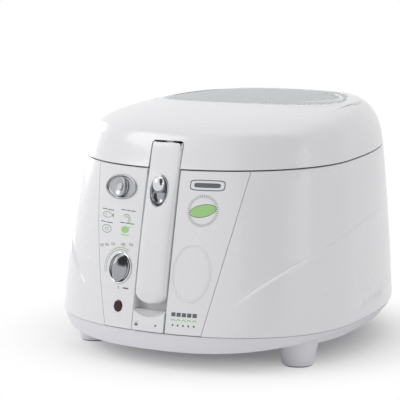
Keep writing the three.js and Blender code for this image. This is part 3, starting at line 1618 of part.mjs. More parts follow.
function makeLidShell() {
  const outer = solid(lidBody(0));
  let shell = outer.subtract(solid(lidBody(lid.wall)).add(solid(seamSlab(lid.wall, -past, 1))));
  const ledgeDepth = filter.thickness + clearance;
  const ledge = solid(lidBody(1)).subtract(solid(lidBody(ledgeDepth + 2)));
  shell = shell.add(ledge.intersect(filterPrism(3)).subtract(filterPrism(-filter.ledge)));
  const recess = filterPrism(0).subtract(solid(lidBody(ledgeDepth)));
  shell = shell.subtract(recess).subtract(filterPrism(-filter.ledge));
  for (const [x, y] of linerBosses) {
    const bossBottom = liner.flangeHeight + liner.sheet + clearance;
    const post = rodZ(screw.headRadius + 0.4, bossBottom, past * 2, 10);
    const boss = solid(inWorld(moved(post, x, y, 0), seam));
    const hole = rodZ(pinHole(screw.shaftRadius), 0, bossBottom + screw.length, 8);
    const bore = inWorld(moved(hole, x, y, 0), seam);
    shell = shell.add(boss.intersect(solid(lidBody(1)))).subtract(solid(bore));
  }
  for (const x of earPlaces()) {
    const half = hinge.earWidth / 2 + clearance;
    const reach = half + hinge.knuckleWidth;
    const arm = block(x - reach, x + reach, hingeY - hinge.armLength, hingeY, hingeZ - 3, hingeZ + 3);
    const knuckle = solid(arm)
      .subtract(solid(lidBody(lid.wall)))
      .add(solid(rodX(hinge.earRadius, x - reach, x + reach, hingeY, hingeZ)));
    const front = hingeY - hinge.armLength;
    const top = hingeZ + hinge.earRadius + 1.5;
    const window = block(x - half, x + half, front, past * 6, casing.seamFrontHeight - 1, top);
    shell = shell
      .add(knuckle)
      .subtract(solid(window))
      .subtract(solid(rodX(pinHole(hinge.pinRadius), x - past / 2, x + past / 2, hingeY, hingeZ)));
  }
  const notchHalf = handle.topHalfWidth + handle.sideGap;
  const notchTop = face.localToWorld(new THREE.Vector3(0, 0, handleTop)).z + handle.sideGap;
  const notch = block(-notchHalf, notchHalf, casing.bottomFront, handlePivot.y + 6, 0, notchTop);
  return shell.subtract(solid(notch));
}

function filterHoles() {
  const places = [];
  const rowStep = filter.holePitch * Math.sin(Math.PI / 3);
  const middle = (filter.front + filter.back) / 2;
  const halfDepth = (filter.back - filter.front) / 2 - filter.holeMargin;
  const halfWidth = filter.halfWidth - filter.holeMargin;
  const rows = Math.floor(halfDepth / rowStep);
  const columns = Math.ceil(halfWidth / filter.holePitch);
  for (let row = -rows; row <= rows; row += 1) {
    for (let column = -columns; column <= columns; column += 1) {
      const x = (column + (row % 2 === 0 ? 0 : 0.5)) * filter.holePitch;
      const y = row * rowStep;
      const inside = Math.abs(x / halfWidth) ** filter.power + Math.abs(y / halfDepth) ** filter.power < 1;
      if (inside) places.push([x, middle + y]);
    }
  }
  return places;
}

function makeFilterCover() {
  let cover = solid(lidBody(0))
    .subtract(solid(lidBody(filter.thickness)))
    .intersect(filterPrism(-2 * clearance));
  for (const [x, y] of filterHoles()) {
    const hole = rodZ(filter.holeRadius, casing.seamFrontHeight, lidTopHeight + 1, 4);
    cover = cover.subtract(solid(moved(hole, x, y, 0)));
  }
  return cover;
}

function makeLiner() {
  const { sheet, flangeHeight, wallRadius, top } = liner;
  let body = solid(revolve([
    [0, top - sheet],
    [wallRadius - sheet, top - sheet],
    [wallRadius - sheet, flangeHeight],
    [linerFlange, flangeHeight],
    [linerFlange, flangeHeight + sheet],
    [wallRadius, flangeHeight + sheet],
    [wallRadius, top],
    [0, top],
  ], roundSides));
  for (let i = 0; i < liner.holeCount; i += 1) {
    const turn = (2 * Math.PI * i) / liner.holeCount;
    const [x, y] = [liner.holeRing * Math.cos(turn), liner.holeRing * Math.sin(turn)];
    const hole = moved(rodZ(liner.holeRadius, 0, past, 6), x, y, 0);
    body = body.subtract(solid(hole));
  }
  for (const [x, y] of linerBosses) {
    body = body.subtract(solid(moved(rodZ(pinHole(screw.shaftRadius), 0, past / 2, 8), x, y, 0)));
  }
  return body.subtract(armNotch(top - sheet));
}

function armNotch(high) {
  const half = liner.notchHalfWidth;
  return solid(block(-half, half, -2 * linerFlange, liner.notchDepth - liner.wallRadius, -past, high));
}

function addLid() {
  add('lid_shell', geometryOf(makeLidShell()), whitePlastic);
  add('filter_cover', geometryOf(makeFilterCover()), whitePlastic);
  add('lid_liner', geometryOf(makeLiner()), steel, seam);
  const ring = solid(revolve([
    [gasketInner, flangeTop + clearance],
    [gasketOuter, flangeTop + clearance],
    [gasketOuter, liner.flangeHeight - clearance],
    [gasketInner, liner.flangeHeight - clearance],
  ], roundSides));
  add('lid_gasket', geometryOf(ring.subtract(armNotch(past))), sealRubber, seam);
  const screwed = makeScrew(liner.flangeHeight - clearance);
  const sides = ['right', 'left'];
  linerBosses.forEach(([x, y], i) => add(`liner_screw_${sides[i]}`, moved(screwed, x, y, 0), steel, seam));
  const padOutline = filterOutline(-filter.ledge - 5).map(([x, y]) => [x, y - bowl.rimCentreY]);
  const pad = prismZ(padOutline, liner.top + clearance, liner.top + clearance + filter.padThickness);
  add('filter_pad', pad, charcoal, seam);
  const back = latch.depth + latch.width + latch.hookReach + latch.catchGap;
  const catchRib = solid(inWorld(prismX([
    [back, latch.topHeight - 4],
    [back + 4, latch.topHeight - 4],
    [back + 4, latch.topHeight + past * 2],
    [back, latch.topHeight + past * 2],
  ], latch.x - latch.thickness / 2, latch.x + latch.thickness / 2), face));
  add('lid_catch', geometryOf(catchRib.intersect(solid(lidBody(lid.wall + clearance)))), innerPlastic);
}

function addHinges() {
  const names = ['left', 'right'];
  earPlaces().forEach((x, i) => {
    const deck = (y) => seamHeight(y) + deckTop + clearance;
    const half = hinge.earWidth / 2;
    const [front, back] = [bowl.rimCentreY + bowl.flangeRadius, hingeY - hinge.baseBack];
    const foot = [[front, deck(front)], [back, deck(back)], [back, deck(back) + 3], [front, deck(front) + 3]];
    const base = prismX(foot, x - half, x + half);
    const ear = prismX([
      [back - 10, deck(back) + 1],
      [back, deck(back) + 1],
      [back, seamHeight(back) + 2 * casing.seamGap],
      [hingeY, hingeZ - hinge.earRadius],
      [hingeY, hingeZ + hinge.earRadius],
      [back - 8, seamHeight(back) + 8],
    ], x - half, x + half);
    const bracket = joined(base, ear, rodX(hinge.earRadius, x - half, x + half, hingeY, hingeZ))
      .subtract(solid(rodX(pinHole(hinge.pinRadius), x - past, x + past, hingeY, hingeZ)));
    add(`hinge_bracket_${names[i]}`, geometryOf(bracket), steel);
  });
  const pinHalf = hinge.earWidth / 2 + hinge.knuckleWidth;
  earPlaces().forEach((x, i) => {
    add(`hinge_pin_${names[i]}`, rodX(hinge.pinRadius, x - pinHalf, x + pinHalf, hingeY, hingeZ), steel);
  });
}

// ---------------------------------------------------------------- the whole fryer

addFrontPanels();
addControl('timer', timer, timerFrame);
addControl('thermostat', thermostat, thermostatFrame);
addLamp();
addDrain();
addBase();
addBowl();
addDrive();
addBasket();
addHandle();
addRelease();
addLid();
addHinges();

export default fryer;
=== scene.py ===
"""Looks of a deep fryer with a tilted, turning basket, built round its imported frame.

Everything is in metres, in the frame's own axes: Z is up, and the front looks along -Y.
"""
import json
import math

import bmesh
import bpy
from bpy.props import FloatProperty, FloatVectorProperty, PointerProperty
from mathutils import Matrix, Vector

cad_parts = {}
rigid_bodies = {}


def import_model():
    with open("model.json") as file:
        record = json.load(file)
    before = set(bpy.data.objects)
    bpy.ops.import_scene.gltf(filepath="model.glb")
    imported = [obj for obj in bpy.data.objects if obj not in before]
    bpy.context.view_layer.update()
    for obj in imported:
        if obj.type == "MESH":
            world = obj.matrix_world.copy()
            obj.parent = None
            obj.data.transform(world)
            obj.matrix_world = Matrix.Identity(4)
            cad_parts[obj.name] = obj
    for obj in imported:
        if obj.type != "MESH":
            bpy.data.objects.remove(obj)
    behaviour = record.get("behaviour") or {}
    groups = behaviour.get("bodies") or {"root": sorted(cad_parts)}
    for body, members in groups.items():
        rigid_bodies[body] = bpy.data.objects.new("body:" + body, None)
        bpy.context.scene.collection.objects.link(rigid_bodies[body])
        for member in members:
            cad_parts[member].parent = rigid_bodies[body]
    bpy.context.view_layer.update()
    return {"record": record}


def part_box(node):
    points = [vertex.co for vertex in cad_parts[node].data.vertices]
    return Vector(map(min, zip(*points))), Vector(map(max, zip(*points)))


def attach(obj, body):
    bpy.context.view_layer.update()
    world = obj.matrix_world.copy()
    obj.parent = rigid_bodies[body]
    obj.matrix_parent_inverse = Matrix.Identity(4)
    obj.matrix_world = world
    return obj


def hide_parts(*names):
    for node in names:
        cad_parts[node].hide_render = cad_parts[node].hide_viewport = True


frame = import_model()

bl_info = {
    "name": "Deep fryer looks",
    "version": (1, 0, 0),
    "blender": (4, 5, 0),
    "location": "3D View > Sidebar > Fryer",
    "description": "Builds the visible shells, controls, prints and finishes of a deep fryer",
    "category": "Add Mesh",
}

MM = 0.001
COLUMNS = 192  # points round the casing
SMOOTH_BELOW = 35  # degrees between two faces that are shaded as one surface


# ---------------------------------------------------------------- sizes and colours

def length(name, description, default):
    """A size in metres."""
    return FloatProperty(name=name, description=description, default=default, unit="LENGTH", precision=4)


def share(name, description, default):
    """A plain number."""
    return FloatProperty(name=name, description=description, default=default)


def colour(name, description, default):
    """A surface colour, in linear light."""
    return FloatVectorProperty(
        name=name, description=description, default=default, subtype="COLOR", size=3, min=0, max=1)


_, SHELL_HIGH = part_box("body_shell")
_, COVER_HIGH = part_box("filter_cover")


class CasingSizes(bpy.types.PropertyGroup):
    """Sizes of the body's shell, its front panels and its foot."""

    bottom_height: length("Bottom height", "Lower edge of the white shell", 33.6 * MM)
    bottom_half_width: length("Bottom half width", "Half the shell's width at its lower edge", SHELL_HIGH.x)
    bottom_front: length("Bottom front", "Front of the lower edge", -174.4 * MM)
    bottom_back: length("Bottom back", "Back of the lower edge", SHELL_HIGH.y)
    seam_height: length("Seam height", "Height of the seam at the front", 174.5 * MM)
    seam_rise: share("Seam rise", "How much the seam climbs towards the back", 0.036)
    seam_half_width: length("Seam half width", "Half the shell's width at the seam", 130.5 * MM)
    seam_front: length("Seam front", "Front of the seam", -144.5 * MM)
    seam_back: length("Seam back", "Back of the seam", 160.6 * MM)
    seam_gap: length("Seam gap", "Gap between the lid and the body", 1.2 * MM)
    rim_wall: length("Rim wall", "Width of the body's upper edge", 4 * MM)
    deck_drop: length("Deck drop", "From the seam down to the deck", 4 * MM)
    edge_round: length("Edge round", "Radius on the shell's edges", 0.9 * MM)
    crease_height: length("Crease height", "Where the crease leaves the front panel", 59 * MM)
    crease_climb: length("Crease climb", "How far the crease climbs along the side", 76 * MM)
    crease_shoulder: length("Crease shoulder", "How far the side stands out below the crease", 2.3 * MM)
    crease_face: length("Crease face", "Height of the narrow face above the shoulder", 1.3 * MM)
    panel_bottom: length("Panel bottom", "Half width of the front panels at the bottom", 49.5 * MM)
    panel_top: length("Panel top", "Half width of the front panels at the seam", 79.3 * MM)
    panel_gap: length("Panel gap", "Gap round each front panel", 0.55 * MM)
    panel_thickness: length("Panel thickness", "Thickness of the front panels", 1.8 * MM)
    channel_half: length("Channel half width", "Half the width of the handle's channel", 16.5 * MM)
    channel_side: length("Channel side", "How far the handle's channel lies off the middle", -1.4 * MM)
    channel_depth: length("Channel depth", "Depth of the handle's channel", 12 * MM)


class LidSizes(bpy.types.PropertyGroup):
    """Sizes of the lid and its filter cover."""

    top_height: length("Top height", "Highest point of the lid", COVER_HIGH.z)
    wall: length("Wall", "Thickness of the lid's shell", 2.5 * MM)
    notch_half: length("Notch half width", "Half the width of the notch for the handle", 16.35 * MM)
    notch_round: length("Notch round", "Corner radius of the notch", 3.6 * MM)
    cover_half: length("Cover half width", "Half the width of the filter cover", 100 * MM)
    cover_front: length("Cover front", "Front of the filter cover", -45 * MM)
    cover_back: length("Cover back", "Back of the filter cover", 116 * MM)
    cover_gap: length("Cover gap", "Gap round the filter cover", 0.5 * MM)
    cover_band: length("Cover band", "Width of the plain band round the holes", 7.5 * MM)
    hole_pitch: length("Hole pitch", "Distance between two holes", 3.5 * MM)
    hole_radius: length("Hole radius", "Radius of one hole", 1.18 * MM)


class HandleSizes(bpy.types.PropertyGroup):
    """Sizes of the folding handle and its sliding button."""

    top_half: length("Top half width", "Half the handle's width at its top", 15.2 * MM)
    half: length("Half width", "Half the handle's width at its grip", 15.7 * MM)
    end_round: length("End round", "Length of the rounded lower end", 10 * MM)
    oval_half: length("Oval half width", "Half the width of the button's dish", 9.2 * MM)
    oval_tall: length("Oval half height", "Half the height of the button's dish", 14.4 * MM)
    oval_height: length("Oval height", "Dish centre above the shell's lower edge, up the slope", 124.2 * MM)
    oval_side: length("Oval side", "How far the dish lies off the middle", -2.4 * MM)


class FinishColours(bpy.types.PropertyGroup):
    """Colours of the fryer's materials."""

    white: colour("White plastic", "Glossy shell plastic", (0.80, 0.80, 0.82))
    skirt: colour("Grey plastic", "Fine-grained skirt plastic", (0.77, 0.77, 0.81))
    foot: colour("Foot plastic", "Feet", (0.76, 0.76, 0.80))
    silver: colour("Silver plastic", "Knobs", (0.40, 0.405, 0.43))
    chrome: colour("Chrome", "Plated ring and button", (0.68, 0.69, 0.71))
    # Chrome made darker than the plating: painted shade that stands in for the dark reflections on the thermostat's
    # grip and the slider's dish
    dark_chrome: colour("Dark chrome", "Thermostat's grip and slider's dish", (0.36, 0.365, 0.385))
    # Grey, darker than the shell's white plastic: painted shade that stands in for the shade inside the cover's holes
    grille: colour("Grille plastic", "Perforated field of the filter cover", (0.69, 0.70, 0.715))
    steel: colour("Steel", "Basket, arms and screws", (0.55, 0.56, 0.57))
    coating: colour("Dark coating", "Non-stick coating of the bowl", (0.028, 0.029, 0.032))
    rubber: colour("Rubber", "Foot pads, inlet bush and hose cap", (0.035, 0.035, 0.037))
    seal: colour("Seal rubber", "Lid seal and drain hose", (0.25, 0.26, 0.27))
    lens: colour("Red lens", "Heating lamp", (0.028, 0.006, 0.007))
    charcoal: colour("Charcoal", "Filter pad", (0.020, 0.020, 0.023))
    inner: colour("Inner plastic", "Parts behind the shell", (0.66, 0.66, 0.63))
    black: colour("Black plastic", "Switch units and lamp holder", (0.030, 0.030, 0.032))
    brass: colour("Brass", "Bush, pinion and sensor", (0.52, 0.36, 0.13))
    ink: colour("Dark ink", "Numbers and marks", (0.12, 0.13, 0.14))
    green: colour("Green ink", "Filled signs and ticks", (0.36, 0.62, 0.24))
    deep_green: colour("Deep green ink", "Outlined signs and arc", (0.20, 0.30, 0.15))


class StageSizes(bpy.types.PropertyGroup):
    """The camera, the floor and the even light."""

    azimuth: FloatProperty(name="Azimuth", description="Camera's turn round the fryer",
                           default=math.radians(28.798), subtype="ANGLE")
    elevation: FloatProperty(name="Elevation", description="Camera's height angle",
                             default=math.radians(8.179), subtype="ANGLE")
    lens: FloatProperty(name="Lens", description="Focal length in millimetres", default=145.46)
    floor_shade: share("Floor shade", "How dark the floor is close to the fryer", 0.86)
    daylight: share("Daylight", "Strength of the even light from all sides", 0.58)


def casing():
    """The body's sizes."""
    return bpy.context.scene.fryer_casing


def lid():
    """The lid's sizes."""
    return bpy.context.scene.fryer_lid


def handle():
    """The handle's sizes."""
    return bpy.context.scene.fryer_handle


# ---------------------------------------------------------------- the casing's form

def mix(low, high, part):
    """A value between two, by its share."""
    return low + (high - low) * part


def ease(low, high, value):
    """0 below low, 1 above high and a smooth change between them."""
    part = min(1.0, max(0.0, (value - low) / (high - low)))
    return part * part * (3 - 2 * part)


def signed(value, power):
    """A power that keeps the sign."""
    return math.copysign(abs(value) ** power, value)


def turns(count=COLUMNS):
    """Equal turns of a full circle."""
    return [2 * math.pi * step / count for step in range(count)]


class Outline:
    """A rounded outline seen from above, made of a front and a back half."""

    def __init__(self, half_width, front, back, front_power, back_power, widest=0.5):
        self.half_width = half_width
        self.front = front
        self.back = back
        self.middle = mix(front, back, widest)
        self.front_power = front_power
        self.back_power = back_power

    def at(self, turn):
        """The point of the outline at a turn."""
        across, along = math.cos(turn), math.sin(turn)
        power = self.front_power if along < 0 else self.back_power
        reach = self.middle - self.front if along < 0 else self.back - self.middle
        return (self.half_width * signed(across, 2 / power), self.middle + reach * signed(along, 2 / power))

    def front_at(self, x):
        """Where the outline's front is at x."""
        power, reach = self.front_power, self.middle - self.front
        return self.middle - reach * (1 - abs(x / self.half_width) ** power) ** (1 / power)


WIDEST = 0.353  # share of the depth at which the casing is widest
BULGE = 4 * MM  # a quarter of this is how far the wall swells halfway up


def seam_z(y):
    """Height of the seam."""
    sizes = casing()
    return sizes.seam_height + sizes.seam_rise * (y - sizes.seam_front)


def casing_outline(level, inset=0.0):
    """The casing's outline: level 0 is its lower edge and level 1 the seam."""
    sizes = casing()
    swell = BULGE * level * (1 - level) - inset
    return Outline(
        mix(sizes.bottom_half_width, sizes.seam_half_width, level) + swell,
        mix(sizes.bottom_front, sizes.seam_front, level) - swell,
        mix(sizes.bottom_back, sizes.seam_back, level) + swell,
        mix(2.253, 2.124, level),
        2.396,
        WIDEST,
    )


def level_at(y, z):
    """How far up the casing a place is."""
    bottom = casing().bottom_height
    return (z - bottom) / (seam_z(y) - bottom)


def casing_point(turn, height_of, inset=0.0, swell_of=None):
    """The point of the casing's skin at a turn and at a height that may depend on the place."""
    level, place = 0.5, (0.0, 0.0)
    for _ in range(7):
        swell = swell_of(*place) if swell_of else 0.0
        outline = casing_outline(level, inset - swell)
        place = outline.at(turn)
        level = level_at(place[1], height_of(*place))
    return Vector((*place, height_of(*place)))


def wall_y(x, z):
    """Where the casing's front is at a place."""
    y = casing().seam_front
    for _ in range(8):
        y = casing_outline(level_at(y, z)).front_at(x)
    return y


def wall_frame(x, z):
    """X across, Y up the surface and Z out of it, at a place on the casing's front."""
    step = MM
    slope_x = (wall_y(x + step, z) - wall_y(x - step, z)) / (2 * step)
    slope_z = (wall_y(x, z + step) - wall_y(x, z - step)) / (2 * step)
    outward = Vector((slope_x, -1, slope_z)).normalized()
    across = Vector((1, slope_x, 0)).normalized()
    turned = Matrix((across, outward.cross(across), outward)).transposed().to_4x4()
    return Matrix.Translation((x, wall_y(x, z), z)) @ turned


def slope_frame():
    """On the sloping front: X across, Y inwards and Z up the slope from the casing's lower edge."""
    sizes = casing()
    lean = math.atan2(sizes.seam_front - sizes.bottom_front, sizes.seam_height - sizes.bottom_height)
    return Matrix.Translation((0, sizes.bottom_front, sizes.bottom_height)) @ Matrix.Rotation(-lean, 4, "X")


def channel_frame():
    """The slope's frame at the middle of the handle's channel."""
    return Matrix.Translation((casing().channel_side, 0, 0)) @ slope_frame()


def panel_half(z, side):
    """How far the front panels reach from the middle at a height, on the left (-1) or the right (1)."""
    sizes = casing()
    part = (z - sizes.bottom_height) / (sizes.seam_height - sizes.bottom_height)
    if side < 0:
        swell = 11.2 * MM * part * (1 - part) - 1.2 * MM * (1 - part) ** 2
    else:
        swell = -3.2 * MM * max(0.0, part) ** 2.2
    return mix(sizes.panel_bottom, sizes.panel_top, part) + swell


CREASE_START, CREASE_SPREAD = 30.9, 38  # degrees from the front, seen from the widest place
CREASE_LOWEST = 7.5 * MM  # above the shell's lower edge


def crease(x, y):
    """Height of the crease on the side, and how strong it is there."""
    sizes = casing()
    middle = mix(sizes.seam_front, sizes.seam_back, WIDEST)
    from_front = math.degrees(abs(math.atan2(x, middle - y)))
    climbed = 1 - math.exp(-(from_front - CREASE_START) / CREASE_SPREAD)
    lowest = sizes.bottom_height + CREASE_LOWEST
    height = max(lowest, sizes.crease_height + sizes.crease_climb * climbed)
    return height, ease(30, 47, from_front) * (1 - 0.45 * ease(48, 66, from_front)) * (1 - ease(84, 128, from_front))


# ---------------------------------------------------------------- mesh tools

def set_shading(bm, flat=False):
    """Smooth faces, with a hard edge wherever the surface turns sharply."""
    limit = math.radians(SMOOTH_BELOW)
    for face in bm.faces:
        face.smooth = not flat
    for edge in bm.edges:
        edge.smooth = len(edge.link_faces) == 2 and edge.calc_face_angle() < limit


class Shape:
    """A mesh in the making."""

    def __init__(self):
        self.bm = bmesh.new()

    def loft(self, rings, first_cap=False, last_cap=False, again=False):
        """A skin through rings of equally many points, grown ring by ring; again joins last and first."""
        bm = self.bm
        row = bmesh.ops.create_circle(bm, segments=len(rings[0]), radius=1)["verts"]
        for vertex, point in zip(row, rings[0]):
            vertex.co = point
        inside = set(row)
        edges = [edge for edge in {e for v in row for e in v.link_edges} if set(edge.verts) <= inside]
        first = edges
        if first_cap:
            bmesh.ops.contextual_create(bm, geom=edges)
        for ring in rings[1:]:
            grown = bmesh.ops.extrude_edge_only(bm, edges=edges)["geom"]
            fresh = {item for item in grown if isinstance(item, bmesh.types.BMVert)}
            row = [next(e.other_vert(v) for e in v.link_edges if e.other_vert(v) in fresh) for v in row]
            edges = [e for e in grown if isinstance(e, bmesh.types.BMEdge) and set(e.verts) <= fresh]
            for vertex, point in zip(row, ring):
                vertex.co = point
        if last_cap:
            bmesh.ops.contextual_create(bm, geom=edges)
        if again:
            bmesh.ops.bridge_loops(bm, edges=first + edges)
        return row

    def revolve(self, profile, steps=64, place=None):
        """A turned form from [radius, height] points, about Z."""
        bm = self.bm
        row = [bm.verts.new((radius, 0, height)) for radius, height in profile]
        edges = [bm.edges.new(pair) for pair in zip(row, row[1:])]
        bmesh.ops.spin(
            bm, geom=row + edges, cent=(0, 0, 0), axis=(0, 0, 1), dvec=(0, 0, 0),
            angle=2 * math.pi, steps=steps, use_merge=True, use_duplicate=False)
        connected = self.linked(row)
        bmesh.ops.remove_doubles(bm, verts=connected, dist=1e-6)
        whole = [vertex for vertex in connected if vertex.is_valid]
        bmesh.ops.transform(bm, matrix=place or Matrix(), verts=whole)
        return self

    def linked(self, seeds):
        """All vertices that hang together with the given ones."""
        found, waiting = set(), list(seeds)
        while waiting:
            vertex = waiting.pop()
            if vertex not in found:
                found.add(vertex)
                waiting.extend(edge.other_vert(vertex) for edge in vertex.link_edges)
        return list(found)

    def box(self, low, high, place=None):
        """A block between two corners."""
        middle = (Vector(low) + Vector(high)) / 2
        size = Vector(high) - Vector(low)
        scaled = Matrix.Translation(middle) @ Matrix.Diagonal((*size, 1))
        verts = bmesh.ops.create_cube(self.bm, size=1, matrix=(place or Matrix()) @ scaled)["verts"]
        return verts

    def ball(self, radii, place, segments=48):
        """An ellipsoid."""
        return bmesh.ops.create_uvsphere(
            self.bm, u_segments=segments, v_segments=segments // 2, radius=1,
            matrix=place @ Matrix.Diagonal((*radii, 1)))["verts"]

    def bevel(self, edges, offset, segments=3):
        """Rounds some edges."""
        bmesh.ops.bevel(
            self.bm, geom=list(edges), offset=offset, offset_type="OFFSET", segments=segments,
            profile=0.5, affect="EDGES", material=-1, clamp_overlap=True)
        return self

    def thicken(self, faces, offset):
        """Gives a sheet its thickness; the offset leads to its far side."""
        grown = bmesh.ops.extrude_face_region(self.bm, geom=list(faces), use_keep_orig=True)["geom"]
        fresh = [item for item in grown if isinstance(item, bmesh.types.BMVert)]
        bmesh.ops.translate(self.bm, verts=fresh, vec=offset)

    def piece(self, name, finish, body, slot, replaces=(), flat=False):
        """The finished object, on its body."""
        bm = self.bm
        bmesh.ops.recalc_face_normals(bm, faces=bm.faces)
        set_shading(bm, flat)
        mesh = bpy.data.meshes.new(name)
        bm.to_mesh(mesh)
        bm.free()
        made = bpy.data.objects.new(name, mesh)
        bpy.context.scene.collection.objects.link(made)
        if finish:
            mesh.materials.append(finish)
        if body:
            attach(made, body)
        if replaces:
            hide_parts(*replaces)
        return made

    def cutter(self):
        """A passing object that cuts another one."""
        return self.piece("cutter", None, None, None)


def settle(piece):
    """Makes a piece's modifiers part of its mesh."""
    evaluated = piece.evaluated_get(bpy.context.evaluated_depsgraph_get())
    mesh = bpy.data.meshes.new_from_object(evaluated)
    piece.modifiers.clear()
    old, piece.data = piece.data, mesh
    bpy.data.meshes.remove(old)
    return piece


def cut(piece, *cutters):
    """Takes the cutters' space out of a piece."""
    for cutter in cutters:
        modifier = piece.modifiers.new("cut", "BOOLEAN")
        modifier.operation = "DIFFERENCE"
        modifier.solver = "MANIFOLD"
        modifier.object = cutter
    settle(piece)
    for cutter in cutters:
        bpy.data.objects.remove(cutter)
    bm = bmesh.new()
    bm.from_mesh(piece.data)
    bmesh.ops.dissolve_degenerate(bm, edges=bm.edges, dist=1e-6)
    set_shading(bm)
    bm.to_mesh(piece.data)
    bm.free()
    return piece


def soften(piece, width, segments=2, degrees=40):
    """A small round on a piece's sharp edges."""
    modifier = piece.modifiers.new("edge round", "BEVEL")
    modifier.width = width
    modifier.segments = segments
    modifier.limit_method = "ANGLE"
    modifier.angle_limit = math.radians(degrees)
    return settle(piece)


def oval(half_width, half_height, count=64, centre=(0, 0), power=2.0):
    """Points of an oval, as [x, y] pairs."""
    return [
        (centre[0] + half_width * signed(math.cos(turn), 2 / power),
         centre[1] + half_height * signed(math.sin(turn), 2 / power))
        for turn in turns(count)
    ]


# ---------------------------------------------------------------- materials

class Number:
    """A value that a shader works out, so that its sums can be written as sums."""

    def __init__(self, finish, socket):
        self.finish = finish
        self.socket = socket

    def sum_of(self, operation, first, second):
        """A sum of two values."""
        return self.finish.number("ShaderNodeMath", {"operation": operation}, {0: first, 1: second})

    def __add__(self, other):
        return self.sum_of("ADD", self, other)

    def __radd__(self, other):
        return self.sum_of("ADD", other, self)

    def __mul__(self, other):
        return self.sum_of("MULTIPLY", self, other)

    def __gt__(self, other):
        return self.sum_of("GREATER_THAN", self, other)

    def clamped(self):
        """The value kept between 0 and 1."""
        return self.finish.number("ShaderNodeClamp", {}, {"Value": self})


class Finish:
    """One material in the making."""

    def __init__(self, name, **shader):
        self.material = bpy.data.materials.new(name)
        self.material.use_nodes = True
        self.tree = self.material.node_tree
        self.shader = self.tree.nodes["Principled BSDF"]
        self.place = self.node("ShaderNodeTexCoord", {}, {}).outputs["Object"]
        for socket, value in shader.items():
            self.put(self.shader.inputs[socket.replace("_", " ")], value)

    def put(self, socket, value):
        """Links or sets one socket."""
        if isinstance(value, Number):
            value = value.socket
        if isinstance(value, bpy.types.NodeSocket):
            self.tree.links.new(value, socket)
        elif hasattr(value, "__len__") and len(value) == 3 and socket.type == "RGBA":
            socket.default_value = (*value, 1)
        else:
            socket.default_value = value

    def node(self, kind, settings, sockets):
        """Any node: its settings first, then the values or links of its sockets."""
        made = self.tree.nodes.new(kind)
        for setting, value in settings.items():
            setattr(made, setting, value)
        for socket, value in sockets.items():
            self.put(made.inputs[socket], value)
        return made

    def number(self, kind, settings, sockets):
        """A node's value as a number."""
        return Number(self, self.node(kind, settings, sockets).outputs[0])

    def noise(self, scale, detail=3.0, roughness=0.5, place=None):
        """Soft random change from 0 to 1; scale is waves for each metre."""
        sockets = {"Vector": place or self.place, "Scale": scale, "Detail": detail, "Roughness": roughness}
        return self.number("ShaderNodeTexNoise", {}, sockets)

    def cells(self, scale):
        """Distance to the nearest point of a random net."""
        return self.number("ShaderNodeTexVoronoi", {}, {"Vector": self.place, "Scale": scale})

    def stretched(self, x, y, z):
        """The place on the piece, with its axes scaled."""
        made = self.node("ShaderNodeVectorMath", {"operation": "MULTIPLY"}, {0: self.place, 1: (x, y, z)})
        return made.outputs[0]

    def tinted(self, first, second, factor):
        """A colour between two."""
        made = self.node("ShaderNodeMix", {"data_type": "RGBA"}, {0: factor})
        self.put(made.inputs[6], first)
        self.put(made.inputs[7], second)
        return made.outputs[2]

    def bump(self, height, strength, distance):
        """Fine relief from a height."""
        made = self.node("ShaderNodeBump", {}, {"Height": height, "Strength": strength, "Distance": distance})
        self.put(self.shader.inputs["Normal"], made.outputs[0])

    def set(self, **sockets):
        """Sets or links sockets of the shader."""
        for socket, value in sockets.items():
            self.put(self.shader.inputs[socket.replace("_", " ")], value)
        return self


def shade(tint, factor):
    """A colour made darker or lighter."""
    return tuple(min(1.0, part * factor) for part in tint)


def moulded(name, tint, rough, grain, grain_depth, spread=0.03, coat=0.0):
    """Moulded plastic: faint flow marks, handling haze and a fine skin."""
    finish = Finish(name, Coat_Weight=coat, Coat_Roughness=0.08, IOR=1.49)
    flow = finish.noise(9, 2)
    haze = finish.noise(60, 4, 0.6)
    skin = finish.noise(grain, 2, 0.6)
    cloud = (flow * 0.6 + haze * 0.4).clamped()
    finish.set(
        Base_Color=finish.tinted(shade(tint, 1 - spread), shade(tint, 1 + spread), cloud),
        Roughness=(rough - 0.04) + haze * 0.08,
    )
    finish.bump(skin, 0.25, grain_depth)
    return finish.material


def metal(name, tint, rough, brushed=None, spread=0.06):
    """Bare or plated metal, brushed where a direction is given."""
    finish = Finish(name, Metallic=1.0)
    place = finish.stretched(*brushed) if brushed else None
    lines = finish.noise(260, 3, 0.6, place)
    smear = finish.noise(35, 4, 0.6)
    finish.set(
        Base_Color=finish.tinted(shade(tint, 1 - spread), shade(tint, 1 + spread), smear),
        Roughness=(rough - 0.04) + smear * 0.05 + lines * 0.06,
    )
    finish.bump(lines, 0.12, 0.00004)
    return finish.material


def rubbery(name, tint, rough=0.75):
    """Rubber with dust in its pores."""
    finish = Finish(name)
    dust = finish.noise(140, 4, 0.7)
    pores = finish.cells(1300)
    finish.set(
        Base_Color=finish.tinted(shade(tint, 0.8), shade(tint, 1.35), dust),
        Roughness=rough - 0.08 + dust * 0.16,
    )
    finish.bump(pores, 0.35, 0.00008)
    return finish.material


def inked(name, tint):
    """Printed ink, slightly uneven."""
    finish = Finish(name, IOR=1.45)
    cover = finish.noise(700, 3, 0.6)
    finish.set(
        Base_Color=finish.tinted(shade(tint, 0.85), shade(tint, 1.2), cover),
        Roughness=0.42 + cover * 0.12,
    )
    finish.bump(cover, 0.1, 0.00002)
    return finish.material


